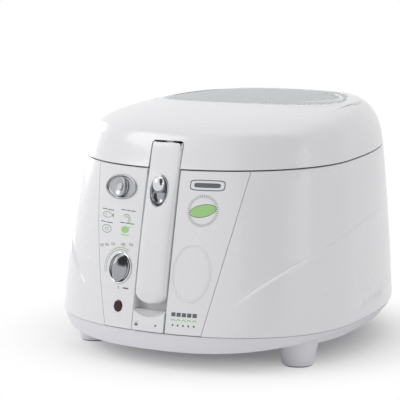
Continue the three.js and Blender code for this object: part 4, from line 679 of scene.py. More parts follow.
def make_finishes():
    """All materials by their slot's name."""
    tints = bpy.context.scene.fryer_colours
    return {
        "white_plastic": moulded("white shell plastic", tints.white, 0.26, 420, 0.00003, 0.012, 0.25),
        "grey_plastic": moulded("grey skirt plastic", tints.skirt, 0.44, 1500, 0.00010, 0.025),
        "foot_plastic": moulded("foot plastic", tints.foot, 0.46, 1500, 0.00010, 0.03),
        "silver_plastic": silver(tints.silver),
        "chrome": metal("chrome plating", tints.chrome, 0.16, None, 0.03),
        "steel": metal("brushed steel", tints.steel, 0.30, (0.25, 0.25, 3.0)),
        "dark_coating": coating(tints.coating),
        "rubber": rubbery("black rubber", tints.rubber),
        "seal_rubber": rubbery("seal rubber", tints.seal, 0.6),
        "red_lens": lens_red(tints.lens),
        "charcoal": charcoal(tints.charcoal),
        # The holed field's grey is painted shade for the shade inside its holes
        "grille": moulded("grille plastic", tints.grille, 0.34, 420, 0.00003, 0.02),
        # A darker copy of the chrome: painted shade for the dark reflections of the grip and the dish
        "dark_chrome": metal("shaded chrome", tints.dark_chrome, 0.14, None, 0.05),
        "inner_plastic": moulded("inner plastic", tints.inner, 0.48, 900, 0.00008, 0.03),
        "black_plastic": moulded("black plastic", tints.black, 0.45, 900, 0.00008, 0.15),
        "brass": metal("brass", tints.brass, 0.28, (3.0, 0.3, 0.3), 0.1),
        "ink": inked("dark ink", tints.ink),
        "green": inked("green ink", tints.green),
        "deep_green": inked("deep green ink", tints.deep_green),
    }


def silver(tint):
    """Silver-painted plastic with fine flakes."""
    finish = Finish("silver paint", Metallic=0.75, Coat_Weight=0.3, Coat_Roughness=0.12)
    flakes = finish.cells(3200)
    smear = finish.noise(45, 3)
    finish.set(
        Base_Color=finish.tinted(shade(tint, 0.92), shade(tint, 1.1), flakes),
        Roughness=0.27 + smear * 0.08,
    )
    finish.bump(flakes, 0.1, 0.00002)
    return finish.material


def coating(tint):
    """Non-stick coating: nearly black with grey specks and faint rub marks."""
    finish = Finish("non-stick coating")
    specks = finish.cells(900)
    rubbed = finish.noise(30, 5, 0.65)
    speck = (specks > 0.82) * 0.5
    finish.set(
        Base_Color=finish.tinted(tint, shade(tint, 3.2), (speck + rubbed * 0.25).clamped()),
        Roughness=0.36 + rubbed * 0.14,
    )
    finish.bump(finish.noise(1100, 3), 0.25, 0.00006)
    return finish.material


def lens_red(tint):
    """Dark red lamp lens with a moulded grid."""
    finish = Finish("lamp lens", Coat_Weight=0.15, Coat_Roughness=0.05, IOR=1.36)
    depth = finish.noise(200, 2)
    grid = finish.cells(1100)
    finish.set(
        Base_Color=finish.tinted(shade(tint, 0.75), shade(tint, 1.6), depth),
        Roughness=0.18 + depth * 0.08,
    )
    finish.bump(grid, 0.3, 0.0001)
    return finish.material


def charcoal(tint):
    """Open foam of the carbon filter."""
    finish = Finish("filter foam")
    pores = finish.cells(520)
    finish.set(
        Base_Color=finish.tinted(shade(tint, 0.4), shade(tint, 2.2), pores),
        Roughness=0.86 + pores * 0.1,
    )
    finish.bump(pores, 0.9, 0.0008)
    return finish.material


FINISHES = {}


def finish_of(slot):
    """The material of a slot or an ink."""
    return FINISHES[slot]


# ---------------------------------------------------------------- forms shared by the pieces

def stacked(shape, place, layers):
    """A closed form through flat outlines, each at its height in a place's own axes."""
    rings = [[place @ Vector((x, y, height)) for x, y in outline] for outline, height in layers]
    shape.loft(rings, first_cap=True, last_cap=True)
    return shape


def dished(place, half_width, half_height, profile, count=96):
    """An oval form from pairs in millimetres: how far in from its edge, and how high."""
    layers = [(oval(half_width - inset * MM, half_height - inset * MM, count), height * MM)
              for inset, height in profile]
    return stacked(Shape(), place, layers)


def slope_disc(height, depth=0.0, side=0.0):
    """On the sloping front: X across, Y up the slope and Z out of it."""
    upright = Matrix.Translation((0, depth, height)) @ Matrix.Rotation(math.pi / 2, 4, "X")
    return Matrix.Translation((side, 0, 0)) @ slope_frame() @ upright


def plug(place, outline, low, high):
    """A straight cutter through an outline."""
    return stacked(Shape(), place, [(outline, low), (outline, high)]).cutter()


def block(low, high, place=None):
    """A plain box that cuts."""
    shape = Shape()
    shape.box(low, high, place)
    return shape.cutter()


def front_slab(side, inner, grow, low, above, out, depth, columns=44, rows=64):
    """A plate that follows one half of the casing's front, between slanted edges."""
    sizes = casing()
    shape = Shape()
    grid = bmesh.ops.create_grid(shape.bm, x_segments=columns, y_segments=rows, size=0.5)["verts"]
    for vertex in grid:
        across, up = vertex.co.x + 0.5, vertex.co.y + 0.5
        x = mix(inner, panel_half(sizes.seam_height, side) + grow, across)
        top = seam_z(wall_y(x, sizes.seam_height)) - sizes.seam_gap / 2 + above
        z = mix(low, top, up)
        x = mix(inner, panel_half(z, side) + grow, across)
        vertex.co = (side * x, wall_y(x, z) - out, z)
    shape.thicken(shape.bm.faces, (0, out + depth, 0))
    return shape


TIMER = (-46.3 * MM, 155.8 * MM, 19.3 * MM, 11.2 * MM)  # across, height, half width and half height
THERMOSTAT = (-37 * MM, 85.6 * MM, 13.4 * MM, 14.1 * MM)
LAMP = (-34.8 * MM, 52.6 * MM, 4.6 * MM, 5.2 * MM)
CONTROLS = (TIMER, THERMOSTAT, LAMP)


def control_place(control):
    """The frame of a control on the casing's front."""
    return wall_frame(control[0], control[1])


def knob_place(joint_name):
    """The frame on the casing's front where a knob's joint has its axis."""
    joints = frame["record"]["behaviour"]["joints"]
    x, _, z = next(joint["pos_m"] for joint in joints if joint["name"] == joint_name)
    return wall_frame(x, z)


def control_holes(gap):
    """Cutters for the rooms of the controls in the front."""
    return [
        plug(control_place(control), oval(control[2] + gap, control[3] + gap), -9 * MM, 12 * MM)
        for control in CONTROLS
    ]


# ---------------------------------------------------------------- the body's shell

DECK_HOLE, DECK_MIDDLE = 108 * MM, 8 * MM  # radius of the bowl's hole, and where its centre lies
DECK_THICKNESS = 3.2 * MM
LATCH_ROOM = ((-25.8 * MM, 11.8 * MM, 128 * MM), (-19.4 * MM, 27 * MM, 190 * MM))  # corners, on the slope
LATCH_SLOT = ((-22 * MM, 4 * MM, 3 * MM), (-17 * MM, 11.5 * MM, 12 * MM))


def casing_rows():
    """Rings of the shell's skin: up the outside, over the rim to the deck, and down the inside."""
    sizes = casing()
    bottom, edge = sizes.bottom_height, sizes.edge_round
    rows = []

    def row(height_of, inset=0.0, swell_of=None):
        rows.append([casing_point(turn, height_of, inset, swell_of) for turn in turns()])

    def top(x, y):
        return seam_z(y) - sizes.seam_gap / 2

    def deck(x, y):
        return seam_z(y) - sizes.deck_drop

    def dent(x, y):
        along = ease(-37 * MM, -27 * MM, y) * (1 - ease(12 * MM, 22 * MM, y))
        return along if abs(x) > 100 * MM else 0.0

    row(lambda x, y: bottom, sizes.rim_wall)
    row(lambda x, y: bottom, edge)
    row(lambda x, y: bottom + 0.3 * edge, 0.3 * edge)
    row(lambda x, y: bottom + edge)
    below = [
        (0.05, 0), (0.10, 0), (0.12, 0.15), (0.131, 1.5), (0.139, 2.3), (0.15, 2.6), (0.17, 2.2),
        (0.19, 1.5), (0.215, 0.7), (0.24, 0.2), (0.28, 0), (0.4, 0), (0.55, 0), (0.7, 0), (0.85, 0), (0.95, 0),
    ]
    for part, depth in below:
        def under(x, y, part=part):
            return mix(bottom + edge, crease(x, y)[0] - sizes.crease_face - MM, part)

        def swell(x, y, part=part, depth=depth):
            return sizes.crease_shoulder * crease(x, y)[1] * part - depth * MM * dent(x, y)
        row(under, 0.0, swell)
    face = sizes.crease_face
    for drop, part in [(1.5, 0.99), (1.2, 0.96), (1.0, 0.88), (0.85, 0.76), (0.2, 0.14), (0.05, 0.04), (-0.3, 0)]:
        def near(x, y, drop=drop):
            return crease(x, y)[0] - drop * face

        def lip(x, y, part=part):
            return sizes.crease_shoulder * crease(x, y)[1] * part
        row(near, 0.0, lip)
    for part in (0.1, 0.25, 0.45, 0.65, 0.85):
        row(lambda x, y, part=part: mix(crease(x, y)[0] + face, top(x, y) - edge, part))
    row(lambda x, y: top(x, y) - edge)
    row(lambda x, y: top(x, y) - 0.3 * edge, 0.3 * edge)
    row(top, edge)
    row(top, sizes.rim_wall - 0.4 * MM)
    row(lambda x, y: top(x, y) - 0.4 * MM, sizes.rim_wall)
    row(deck, sizes.rim_wall)
    hole = [(DECK_HOLE * math.cos(turn), DECK_MIDDLE + DECK_HOLE * math.sin(turn)) for turn in turns()]
    rows.append([Vector((x, y, deck(x, y))) for x, y in hole])
    rows.append([Vector((x, y, deck(x, y) - DECK_THICKNESS)) for x, y in hole])
    row(lambda x, y: deck(x, y) - DECK_THICKNESS, sizes.rim_wall)
    row(lambda x, y: mix(bottom, deck(x, y), 0.5), sizes.rim_wall)
    return rows


def hose_room(gap):
    """Cuts the drain compartment's mouth out of the front."""
    sizes = casing()
    low, high, left = 5 * MM - gap, 112 * MM + gap, 20.1 * MM - gap

    def right(height):
        return panel_half(sizes.bottom_height + 0.978 * height, 1) - 5 * MM + gap
    outline = [(left, low), (right(low), low), (right(high), high), (left, high)]
    return plug(slope_disc(0), outline, -40 * MM, 40 * MM)


def build_casing():
    """The white shell of the body, open at its foot, with the handle's channel."""
    sizes = casing()
    white = finish_of("white_plastic")
    shape = Shape()
    shape.loft(casing_rows(), again=True)
    shell = shape.piece("body_casing", white, "body", "white_plastic", ["body_shell"])
    half, depth = sizes.channel_half, sizes.channel_depth
    low, thickness = sizes.bottom_height - 6 * MM, sizes.panel_thickness + 0.6 * MM
    cutters = [block((-half, -40 * MM, -10 * MM), (half, depth, 200 * MM), channel_frame())]
    for side in (-1, 1):
        slab = front_slab(side, half + side * sizes.channel_side - 0.3 * MM, 0.0, low, 8 * MM, 6 * MM, thickness)
        cutters.append(slab.cutter())
    cutters.append(hose_room(0.3 * MM))
    cutters += control_holes(0.3 * MM)
    cutters.append(block(*LATCH_ROOM, slope_frame()))
    cut(shell, *cutters)
    soften(shell, 0.35 * MM, 2, 50)

    wall = 2.5 * MM
    trough = Shape()
    trough.box((-half - wall, 1.6 * MM, 0.6 * MM), (half + wall, depth + wall, 138.5 * MM), channel_frame())
    made = trough.piece("handle_channel", white, "body", "white_plastic")
    inner = half + 0.05 * MM
    slots = [
        block((-inner, -40 * MM, -10 * MM), (inner, depth, 200 * MM), channel_frame()),
        block(*LATCH_SLOT, slope_frame()),
    ]
    cut(made, *slots)
    soften(made, 0.4 * MM, 2)


# ---------------------------------------------------------------- front panels and prints

def front_panel(side, name, body, node):
    """The panel on the left (-1) or the right (1), from the handle's channel to its slanted edge."""
    sizes = casing()
    gap = sizes.panel_gap
    inner = sizes.channel_half + side * sizes.channel_side + gap
    shape = front_slab(side, inner, -gap, sizes.bottom_height + gap, 0.0, 0.0, sizes.panel_thickness)
    return shape.piece(name, finish_of("white_plastic"), body, "white_plastic", [node])


def build_control_panel():
    """The left front panel, with the holes of its controls."""
    panel = front_panel(-1, "control_panel", "body", "control_fascia")
    cut(panel, *control_holes(0.15 * MM))
    soften(panel, 0.45 * MM, 2, 50)


def build_drain_door():
    """The right front panel, which comes off, with its raised oval."""
    door = front_panel(1, "drain_door_panel", "drain_door", "drain_compartment_door")
    soften(door, 0.45 * MM, 2, 50)
    ridges = Shape()
    for half_width, half_height, wide, proud in [(17.2, 24.4, 0.75, 0.55), (15.6, 22.6, 0.4, 0.2)]:
        raised_band(ridges, (35.4 * MM, 87.0 * MM), half_width * MM, half_height * MM, wide * MM, proud * MM)
    ridges.piece("door_oval", finish_of("white_plastic"), "drain_door", "white_plastic")


def on_wall(x, z, proud=0.0):
    """A point of the front, a little proud of it."""
    return Vector((x, wall_y(x, z) - proud, z))


def raised_band(shape, centre, half_width, half_height, wide, proud):
    """A rounded ridge that runs round an oval on the front."""
    profile = [(-0.5, -0.5), (-0.5, 0.35), (-0.28, 0.9), (0.0, 1.0), (0.28, 0.9), (0.5, 0.35), (0.5, -0.5)]
    rings = []
    for offset, lift in profile:
        outline = oval(half_width + offset * wide, half_height + offset * wide, 120, centre)
        rings.append([on_wall(x, z, lift * proud) for x, z in outline])
    shape.loft(rings, again=True)


INK_THICKNESS = 0.06 * MM


def inked_area(shape, outline, fold=0):
    """A patch of ink on the front, cut into strips where it is wide."""
    bm = shape.bm
    ring = [bm.verts.new((x, 0, z)) for x, z in outline]
    face = bm.faces.new(ring)
    patch = [face]
    if fold:
        spread = [x for x, z in outline]
        low, high = min(spread), max(spread)
        for step in range(1, fold):
            geom = set(patch) | {e for f in patch for e in f.edges} | {v for f in patch for v in f.verts}
            plane = mix(low, high, step / fold)
            split = bmesh.ops.bisect_plane(bm, geom=list(geom), plane_co=(plane, 0, 0), plane_no=(1, 0, 0))
            patch = [f for f in split["geom"] if isinstance(f, bmesh.types.BMFace)]
    lay_on_wall(shape, patch)


def lay_on_wall(shape, patch):
    """Lays flat faces (in X and Z) on the front and gives them the ink's thickness."""
    flat = {vertex for face in patch for vertex in face.verts}
    for vertex in flat:
        vertex.co = on_wall(vertex.co.x, vertex.co.z, INK_THICKNESS)
    shape.thicken(patch, (0, 2.5 * INK_THICKNESS, 0))


def inked_words(shape, words, x, z, size):
    """A short number, printed on the front about a centre."""
    data = bpy.data.curves.new("words", "FONT")
    data.body = words
    data.size = size
    data.align_x = "CENTER"
    data.align_y = "CENTER"
    data.resolution_u = 3
    holder = bpy.data.objects.new("words", data)
    bpy.context.scene.collection.objects.link(holder)
    mesh = holder.to_mesh()
    bm = bmesh.new()
    bm.from_mesh(mesh)
    holder.to_mesh_clear()
    bpy.data.objects.remove(holder)
    bpy.data.curves.remove(data)
    for vertex in bm.verts:
        vertex.co = (x + vertex.co.x, 0, z + vertex.co.y)
    print_mesh = bpy.data.meshes.new("words")
    bm.to_mesh(print_mesh)
    bm.free()
    before = set(shape.bm.faces)
    shape.bm.from_mesh(print_mesh)
    bpy.data.meshes.remove(print_mesh)
    lay_on_wall(shape, [face for face in shape.bm.faces if face not in before])


def bar(x, z, width, height, turn=0.0):
    """The outline of a straight bar about its centre."""
    along, up = (math.cos(turn), math.sin(turn)), (-math.sin(turn), math.cos(turn))
    corners = [(-0.5, -0.5), (0.5, -0.5), (0.5, 0.5), (-0.5, 0.5)]
    return [
        (x + u * width * along[0] + v * height * up[0], z + u * width * along[1] + v * height * up[1])
        for u, v in corners
    ]


def swept_band(centre, radius, wide, first, last, count):
    """The outline of an arc with some width; the turns are in degrees."""
    steps = [math.radians(mix(first, last, step / count)) for step in range(count + 1)]
    way = [(radius + wide / 2, t) for t in steps] + [(radius - wide / 2, t) for t in reversed(steps)]
    return [(centre[0] + reach * math.cos(t), centre[1] + reach * math.sin(t)) for reach, t in way]


def build_prints():
    """Numbers round the thermostat, signs for food and marks on both panels."""
    build_panel_prints()
    build_door_prints()


def build_panel_prints():
    """Prints of the control panel."""
    dark, green, deep = Shape(), Shape(), Shape()
    for words, x, z in [("150", -62.6, 102.5), ("160", -56.0, 103.8), ("170", -48.4, 105.0),
                        ("180", -36.3, 106.0), ("190", -27.4, 106.5)]:
        inked_words(dark, words, x * MM, z * MM, 3.5 * MM)
    for radius, wide in [(16.4, 0.45), (18.4, 0.35)]:
        inked_area(deep, swept_band((-37 * MM, 85 * MM), radius * MM, wide * MM, 62, 196, 40), 12)
    for turn in range(70, 196, 14):
        angle = math.radians(turn)
        x, z = -37 + 17.4 * math.cos(angle), 85 + 17.4 * math.sin(angle)
        inked_area(green, bar(x * MM, z * MM, 1.9 * MM, 0.3 * MM, angle))
    inked_words(dark, "0", -36.6 * MM, 68.4 * MM, 3.4 * MM)
    inked_area(dark, bar(-28.4 * MM, 68.6 * MM, 6.2 * MM, 1.2 * MM))
    for sign, ink, x, z in [(fish_sign, deep, -59.4, 129.9), (prawn_sign, deep, -34.0, 128.8),
                            (potato_sign, deep, -58.4, 117.6), (roast_sign, green, -35.8, 118.7)]:
        sign(ink, x * MM, z * MM)
    for row in (134.6, 123.5):
        for first, last, lift in [(-66.8, -60.5, 0), (-59.4, -51.5, -0.2), (-42.5, -37.0, 1.4), (-35.8, -31.8, 1.3),
                                  (-30.8, -26.0, 1.2)]:
            inked_area(dark, bar((first + last) / 2 * MM, (row + lift) * MM, (last - first) * MM, 0.75 * MM), 3)
    dark.piece("panel_numbers", finish_of("ink"), "body", None, flat=True)
    green.piece("panel_signs", finish_of("green"), "body", None, flat=True)
    deep.piece("panel_outlines", finish_of("deep_green"), "body", None, flat=True)


def fish_sign(shape, x, z):
    """A fish in outline."""
    inked_ring(shape, oval(6.4 * MM, 2.7 * MM, 32, (x, z)), oval(5.9 * MM, 2.2 * MM, 32, (x, z)))
    tail = [(x + 5.6 * MM, z), (x + 8.6 * MM, z + 2.4 * MM), (x + 7.9 * MM, z), (x + 8.6 * MM, z - 2.4 * MM)]
    inked_area(shape, tail)
    inked_area(shape, oval(0.5 * MM, 0.5 * MM, 12, (x - 3.6 * MM, z + 0.5 * MM)))
    inked_area(shape, bar(x - 1.6 * MM, z, 0.35 * MM, 3.2 * MM))


def potato_sign(shape, x, z):
    """A potato slice in outline."""
    inked_ring(shape, oval(6.2 * MM, 3.6 * MM, 32, (x, z)), oval(5.6 * MM, 3.0 * MM, 32, (x, z)))
    inked_ring(shape, oval(2.6 * MM, 1.4 * MM, 24, (x, z)), oval(2.2 * MM, 1.0 * MM, 24, (x, z)))


def roast_sign(shape, x, z):
    """A roast bird on its dish."""
    inked_area(shape, oval(4.6 * MM, 3.0 * MM, 28, (x, z + 0.4 * MM)), 3)
    inked_area(shape, bar(x + 4.4 * MM, z + 2.6 * MM, 3.0 * MM, 1.0 * MM, 0.7))
    inked_area(shape, bar(x + 0.6 * MM, z - 4.2 * MM, 9.6 * MM, 0.9 * MM), 3)


def prawn_sign(shape, x, z):
    """A prawn in outline."""
    inked_area(shape, swept_band((x - 1.6 * MM, z - 1.0 * MM), 4.6 * MM, 0.5 * MM, -50, 150, 24))
    inked_area(shape, swept_band((x - 1.6 * MM, z - 1.0 * MM), 2.7 * MM, 0.4 * MM, -40, 140, 20))
    for turn in (-35, 0, 35, 70, 105):
        angle = math.radians(turn)
        spot = (x - 1.6 * MM + 3.65 * MM * math.cos(angle), z - 1.0 * MM + 3.65 * MM * math.sin(angle))
        inked_area(shape, bar(*spot, 1.6 * MM, 0.3 * MM, angle))


def build_door_prints():
    """Prints of the drain door: a plain badge, a round emblem and a row of small marks."""
    dark, green = Shape(), Shape()
    badge = (41.5 * MM, 162.3 * MM)
    outer, inner = oval(15.5 * MM, 4.7 * MM, 48, badge, 5), oval(14.7 * MM, 3.9 * MM, 48, badge, 5)
    inked_ring(dark, outer, inner)
    inked_area(dark, oval(11.6 * MM, 2.0 * MM, 32, badge, 6), 8)
    centre = (40 * MM, 140.5 * MM)
    for step in range(48):
        angle = math.radians(7.5 * step)
        reach = 12.6
        x, z = centre[0] + reach * MM * math.cos(angle), centre[1] + reach * MM * math.sin(angle)
        inked_area(dark, bar(x, z, 2.6 * MM, 0.42 * MM, angle))
    tilted = tilted_oval(centre, 11.5 * MM, 5.0 * MM, 12)
    inked_area(green, tilted, 6)
    inked_ring(dark, tilted_oval(centre, 12.0 * MM, 5.5 * MM, 12), tilted)
    for step in range(5):
        inked_area(dark, bar((22.8 + 4.9 * step) * MM, 51.2 * MM, 3.9 * MM, 3.4 * MM))
        inked_area(green, swept_band(((22.8 + 4.9 * step) * MM, 45.2 * MM), 1.8 * MM, 0.9 * MM, 20, 160, 10))
        inked_area(dark, oval(0.9 * MM, 0.9 * MM, 12, ((22.8 + 4.9 * step) * MM, 42.0 * MM)))
    dark.piece("door_marks", finish_of("ink"), "drain_door", None, flat=True)
    green.piece("door_emblem_oval", finish_of("green"), "drain_door", None, flat=True)


def tilted_oval(centre, half_width, half_height, degrees, count=48):
    """The outline of a tilted oval."""
    turn = math.radians(degrees)
    return [
        (centre[0] + x * math.cos(turn) - z * math.sin(turn), centre[1] + x * math.sin(turn) + z * math.cos(turn))
        for x, z in oval(half_width, half_height, count)
    ]


def inked_ring(shape, outer, inner):
    """Ink between two outlines of equally many points."""
    bm = shape.bm
    rows = [[bm.verts.new((x, 0, z)) for x, z in outline] for outline in (outer, inner)]
    edges = [bm.edges.new((row[i - 1], row[i])) for row in rows for i in range(len(row))]
    patch = bmesh.ops.bridge_loops(bm, edges=edges)["faces"]
    lay_on_wall(shape, patch)


# ---------------------------------------------------------------- controls

def build_bezels():
    """The dished bezels behind both knobs."""
    for name, control, slot, joint_name in [("timer_dish", TIMER, "silver_plastic", "timer_turn"),
                                            ("thermostat_ring", THERMOSTAT, "chrome", "thermostat_turn")]:
        profile = [(0.0, -7.0), (0.0, 0.25), (0.2, 0.62), (0.65, 0.85), (1.15, 0.8), (1.5, 0.5),
                   (1.7, 0.1), (1.9, -0.55), (2.1, -1.1), (2.3, -1.2), (2.6, -1.2)]
        shape = dished(control_place(control), *control[2:], profile)
        made = shape.piece(name, finish_of(slot), "body", slot, [name.split("_")[0] + "_bezel"])
        cut(made, plug(knob_place(joint_name), oval(3.3 * MM, 3.3 * MM, 32), -20 * MM, 20 * MM))


LEAF_TURN = -9  # degrees, how the thermostat's leaf leans at rest


def build_knobs():
    """The timer's barrel grip and the thermostat's pointed grip."""
    place = knob_place("timer_turn")
    shape = Shape()
    skirt = [(8.1, -0.85), (8.3, -0.7), (8.3, -0.35), (8.1, -0.2), (7.8, -0.15), (7.6, -0.15)]
    stacked(shape, place, [(oval(r * MM, r * MM, 72), h * MM) for r, h in skirt])
    barrel = [(6.9, 8.6, -0.2), (6.8, 8.6, 1.0), (6.5, 8.4, 1.7), (6.0, 8.1, 2.1), (5.3, 7.6, 2.2),
              (4.3, 6.7, 1.8), (2.8, 4.6, 1.2), (1.0, 1.7, 1.0)]
    stacked(shape, place, [(oval(a * MM, b * MM, 72, power=2.3), h * MM) for a, b, h in barrel])
    shape.piece("timer_grip", finish_of("silver_plastic"), "timer", "silver_plastic", ["timer_knob"])

    place = knob_place("thermostat_turn")
    shape = Shape()
    skirt = [(10.8, -0.85), (11.0, -0.6), (11.0, 0.3), (10.7, 0.6), (10.2, 0.7), (9.9, 0.7)]
    stacked(shape, place, [(oval(r * MM, r * MM, 72), h * MM) for r, h in skirt])
    leaf = [(7.6, 9.0, 0.5), (7.7, 9.1, 1.05), (9.2, 13.5, 1.05), (9.1, 13.4, 1.2), (8.4, 12.8, 1.7),
            (7.2, 11.9, 2.7), (5.8, 10.7, 3.9), (4.3, 9.2, 5.2), (2.8, 7.3, 6.5), (1.4, 5.0, 7.6),
            (0.5, 3.0, 8.2), (0.2, 1.8, 8.3)]
    layers = []
    for wide, tall, height in leaf:
        outline = [(wide * MM * signed(math.cos(t), 1.3), tall * MM * math.sin(t)) for t in turns(72)]
        layers.append((outline, height * MM))
    stacked(shape, place @ Matrix.Rotation(math.radians(LEAF_TURN), 4, "Z"), layers)
    # The grip takes the chrome with painted shade, which paints its dark reflections
    shape.piece("thermostat_grip", finish_of("dark_chrome"), "thermostat", "silver_plastic", ["thermostat_knob"])


def build_lamp():
    """The heating lamp's lens."""
    profile = [(0, -4.0), (0, 0.35), (0.18, 0.75), (0.6, 1.0), (1.6, 1.12), (3.4, 1.15)]
    shape = dished(control_place(LAMP), *LAMP[2:], profile, 48)
    shape.piece("lamp_lens", finish_of("red_lens"), "body", "red_lens", ["indicator_lens"])


# ---------------------------------------------------------------- foot of the body

SKIRT_TOP = 33.3 * MM
LIP_LOW, LIP_RISE = 17.5 * MM, 9.5 * MM  # the tray's lower edge in the middle, and its climb to the sides


def build_skirt():
    """The grey tray below the white shell."""
    rows = []

    def row(height_of, inset):
        rows.append([casing_point(turn, height_of, inset) for turn in turns()])

    def lip(x, y):
        return LIP_LOW + LIP_RISE * min(1.0, abs(x) / (130 * MM)) ** 3

    top = SKIRT_TOP
    row(lambda x, y: top, 9 * MM)
    row(lambda x, y: top, 1.4 * MM)
    row(lambda x, y: top - 0.4 * MM, 1.0 * MM)
    row(lambda x, y: mix(top, lip(x, y), 0.33), 2.1 * MM)
    row(lambda x, y: mix(top, lip(x, y), 0.66), 3.4 * MM)
    row(lambda x, y: lip(x, y) + 1.2 * MM, 4.6 * MM)
    row(lambda x, y: lip(x, y) + 0.3 * MM, 5.1 * MM)
    row(lip, 6.2 * MM)
    row(lambda x, y: min(22 * MM, lip(x, y)) + 0.4 * MM, 9 * MM)
    row(lambda x, y: min(22 * MM, lip(x, y) + 1 * MM), 14 * MM)
    shape = Shape()
    shape.loft(rows, first_cap=True, last_cap=True)
    shape.piece("base_skirt", finish_of("grey_plastic"), "body", "grey_plastic", ["base_tray"])


def build_feet():
    """Four stout feet with rubber pads."""
    pads = Shape()
    sites = [("front_left", -106.6, -93.5), ("front_right", 106.6, -93.5),
             ("rear_left", -72, 108), ("rear_right", 72, 108)]
    for name, x, y in sites:
        place = Matrix.Translation((x * MM, y * MM, 0))
        shape = Shape()
        profile = [(0, 0.9), (13.2, 0.9), (13.9, 1.1), (14.3, 1.7), (15.0, 6.0), (16.4, 13.0), (17.8, 18.6),
                   (18.5, 21.4), (18.7, 24.0), (18.7, 26.0), (0, 26.0)]
        shape.revolve([(r * MM, h * MM) for r, h in profile], 72, place)
        shape.piece(f"foot_{name}_body", finish_of("foot_plastic"), "body", "foot_plastic", [f"foot_{name}"])
        pad = [(0, 0), (12.4, 0), (12.9, 0.3), (12.9, 1.0), (0, 1.0)]
        pads.revolve([(r * MM, h * MM) for r, h in pad], 48, place)
    pads.piece("foot_pads", finish_of("rubber"), "body", "rubber")


# ---------------------------------------------------------------- handle, slider and release key

# Height up the slope, and how far the handle stands out of it there, in millimetres.
PROUD = [(25, 4.4), (50, 5.2), (75, 5.4), (99, 4.6), (124, 2.8), (146, 0.6), (168.4, -0.9)]


def proud_at(height):
    """How far the handle's front stands out of the slope, in metres."""
    along = height / MM
    low = next((pair for pair in reversed(PROUD) if pair[0] <= along), PROUD[0])
    high = next((pair for pair in PROUD if pair[0] > along), PROUD[-1])
    if low == high or high[0] == low[0]:
        return low[1] * MM
    part = (along - low[0]) / (high[0] - low[0])
    smooth = part * part * (3 - 2 * part) * 0.35 + part * 0.65
    return mix(low[1], high[1], smooth) * MM


HANDLE_BOTTOM, HANDLE_TOP = 25 * MM, 168.4 * MM
HANDLE_CORNER = 2.0 * MM  # radius at its top
HANDLE_BACK = 11 * MM  # how far it reaches into the channel


def handle_ring(height, count=96):
    """One section of the handle, square to the slope."""
    sizes = handle()
    taper = ease(75 * MM, 144 * MM, height)
    from_end = min(1.0, (height - HANDLE_BOTTOM) / sizes.end_round)
    end = math.sqrt(max(0.0, 1 - (1 - from_end) ** 2))
    near_top = max(0.0, height - (HANDLE_TOP - HANDLE_CORNER)) / HANDLE_CORNER
    corner = HANDLE_CORNER * (1 - math.sqrt(max(0.0, 1 - near_top ** 2)))
    half = (mix(sizes.half, sizes.top_half, taper) - 0.6 * corner) * max(0.12, end)
    front = -proud_at(height) + 2.6 * MM * (1 - end) + corner
    back = HANDLE_BACK - 1.5 * MM * (1 - end)
    middle, reach = (front + back) / 2, (back - front) / 2
    place = channel_frame()
    power = 2 / mix(3.4, 6.0, ease(100 * MM, 150 * MM, height))
    return [
        place @ Vector((half * signed(math.cos(turn), power), middle + reach * signed(math.sin(turn), power), height))
        for turn in turns(count)
    ]


def handle_heights():
    """Where the handle's sections are taken."""
    end = handle().end_round
    straight = (HANDLE_BOTTOM + end, HANDLE_TOP - HANDLE_CORNER)
    heights = [HANDLE_BOTTOM + end * (1 - math.cos(math.radians(turn))) for turn in range(6, 91, 7)]
    heights += [mix(*straight, step / 34) for step in range(1, 35)]
    heights += [straight[1] + HANDLE_CORNER * math.sin(math.radians(turn)) for turn in (20, 40, 58, 74, 90)]
    return heights


def build_handle():
    """The folding handle's white shell, hollow at its back."""
    shape = Shape()
    shape.loft([handle_ring(height) for height in handle_heights()], first_cap=True, last_cap=True)
    made = shape.piece("handle_body", finish_of("white_plastic"), "handle", "white_plastic", ["handle_shell"])
    sizes = handle()
    dish_place = slope_disc(sizes.oval_height, 0.0, sizes.oval_side)
    recess = plug(dish_place, oval(sizes.oval_half, sizes.oval_tall, 96), -8.5 * MM, 20 * MM)
    hollow = block((-13.2 * MM, 1.0 * MM, 34 * MM), (13.2 * MM, 30 * MM, 108 * MM), slope_frame())
    near = block((-13.05 * MM, 1.39 * MM, 150.4 * MM), (13.05 * MM, 40 * MM, 200 * MM), slope_frame())
    cut(made, recess, hollow, near)
    soften(made, 0.35 * MM, 2, 55)


def build_slider():
    """The chrome dish in the handle and the button that slides in it."""
    sizes = handle()
    seat = proud_at(sizes.oval_height)
    place = slope_disc(sizes.oval_height, -seat, sizes.oval_side)
    profile = [(0.15, -7.0), (0.15, 0.1), (0.35, 0.38), (0.75, 0.45), (1.1, 0.2), (1.6, -0.9), (2.4, -2.2),
               (3.4, -3.3), (4.8, -4.2), (6.4, -4.7), (8.2, -4.9)]
    shape = dished(place, sizes.oval_half, sizes.oval_tall, profile)
    # The dish takes the chrome with painted shade, which paints its dark reflections
    shape.piece("slider_dish", finish_of("dark_chrome"), "handle", "chrome", ["slider_cup"])
    ball = Shape()
    rest_place = slope_disc(130.4 * MM, -seat + 1.0 * MM, sizes.oval_side - 0.8 * MM)
    ball.ball((6.2 * MM, 7.7 * MM, 5.6 * MM), rest_place, 64)
    ball.piece("slider_button", finish_of("chrome"), "slider", "chrome", ["handle_slider"])


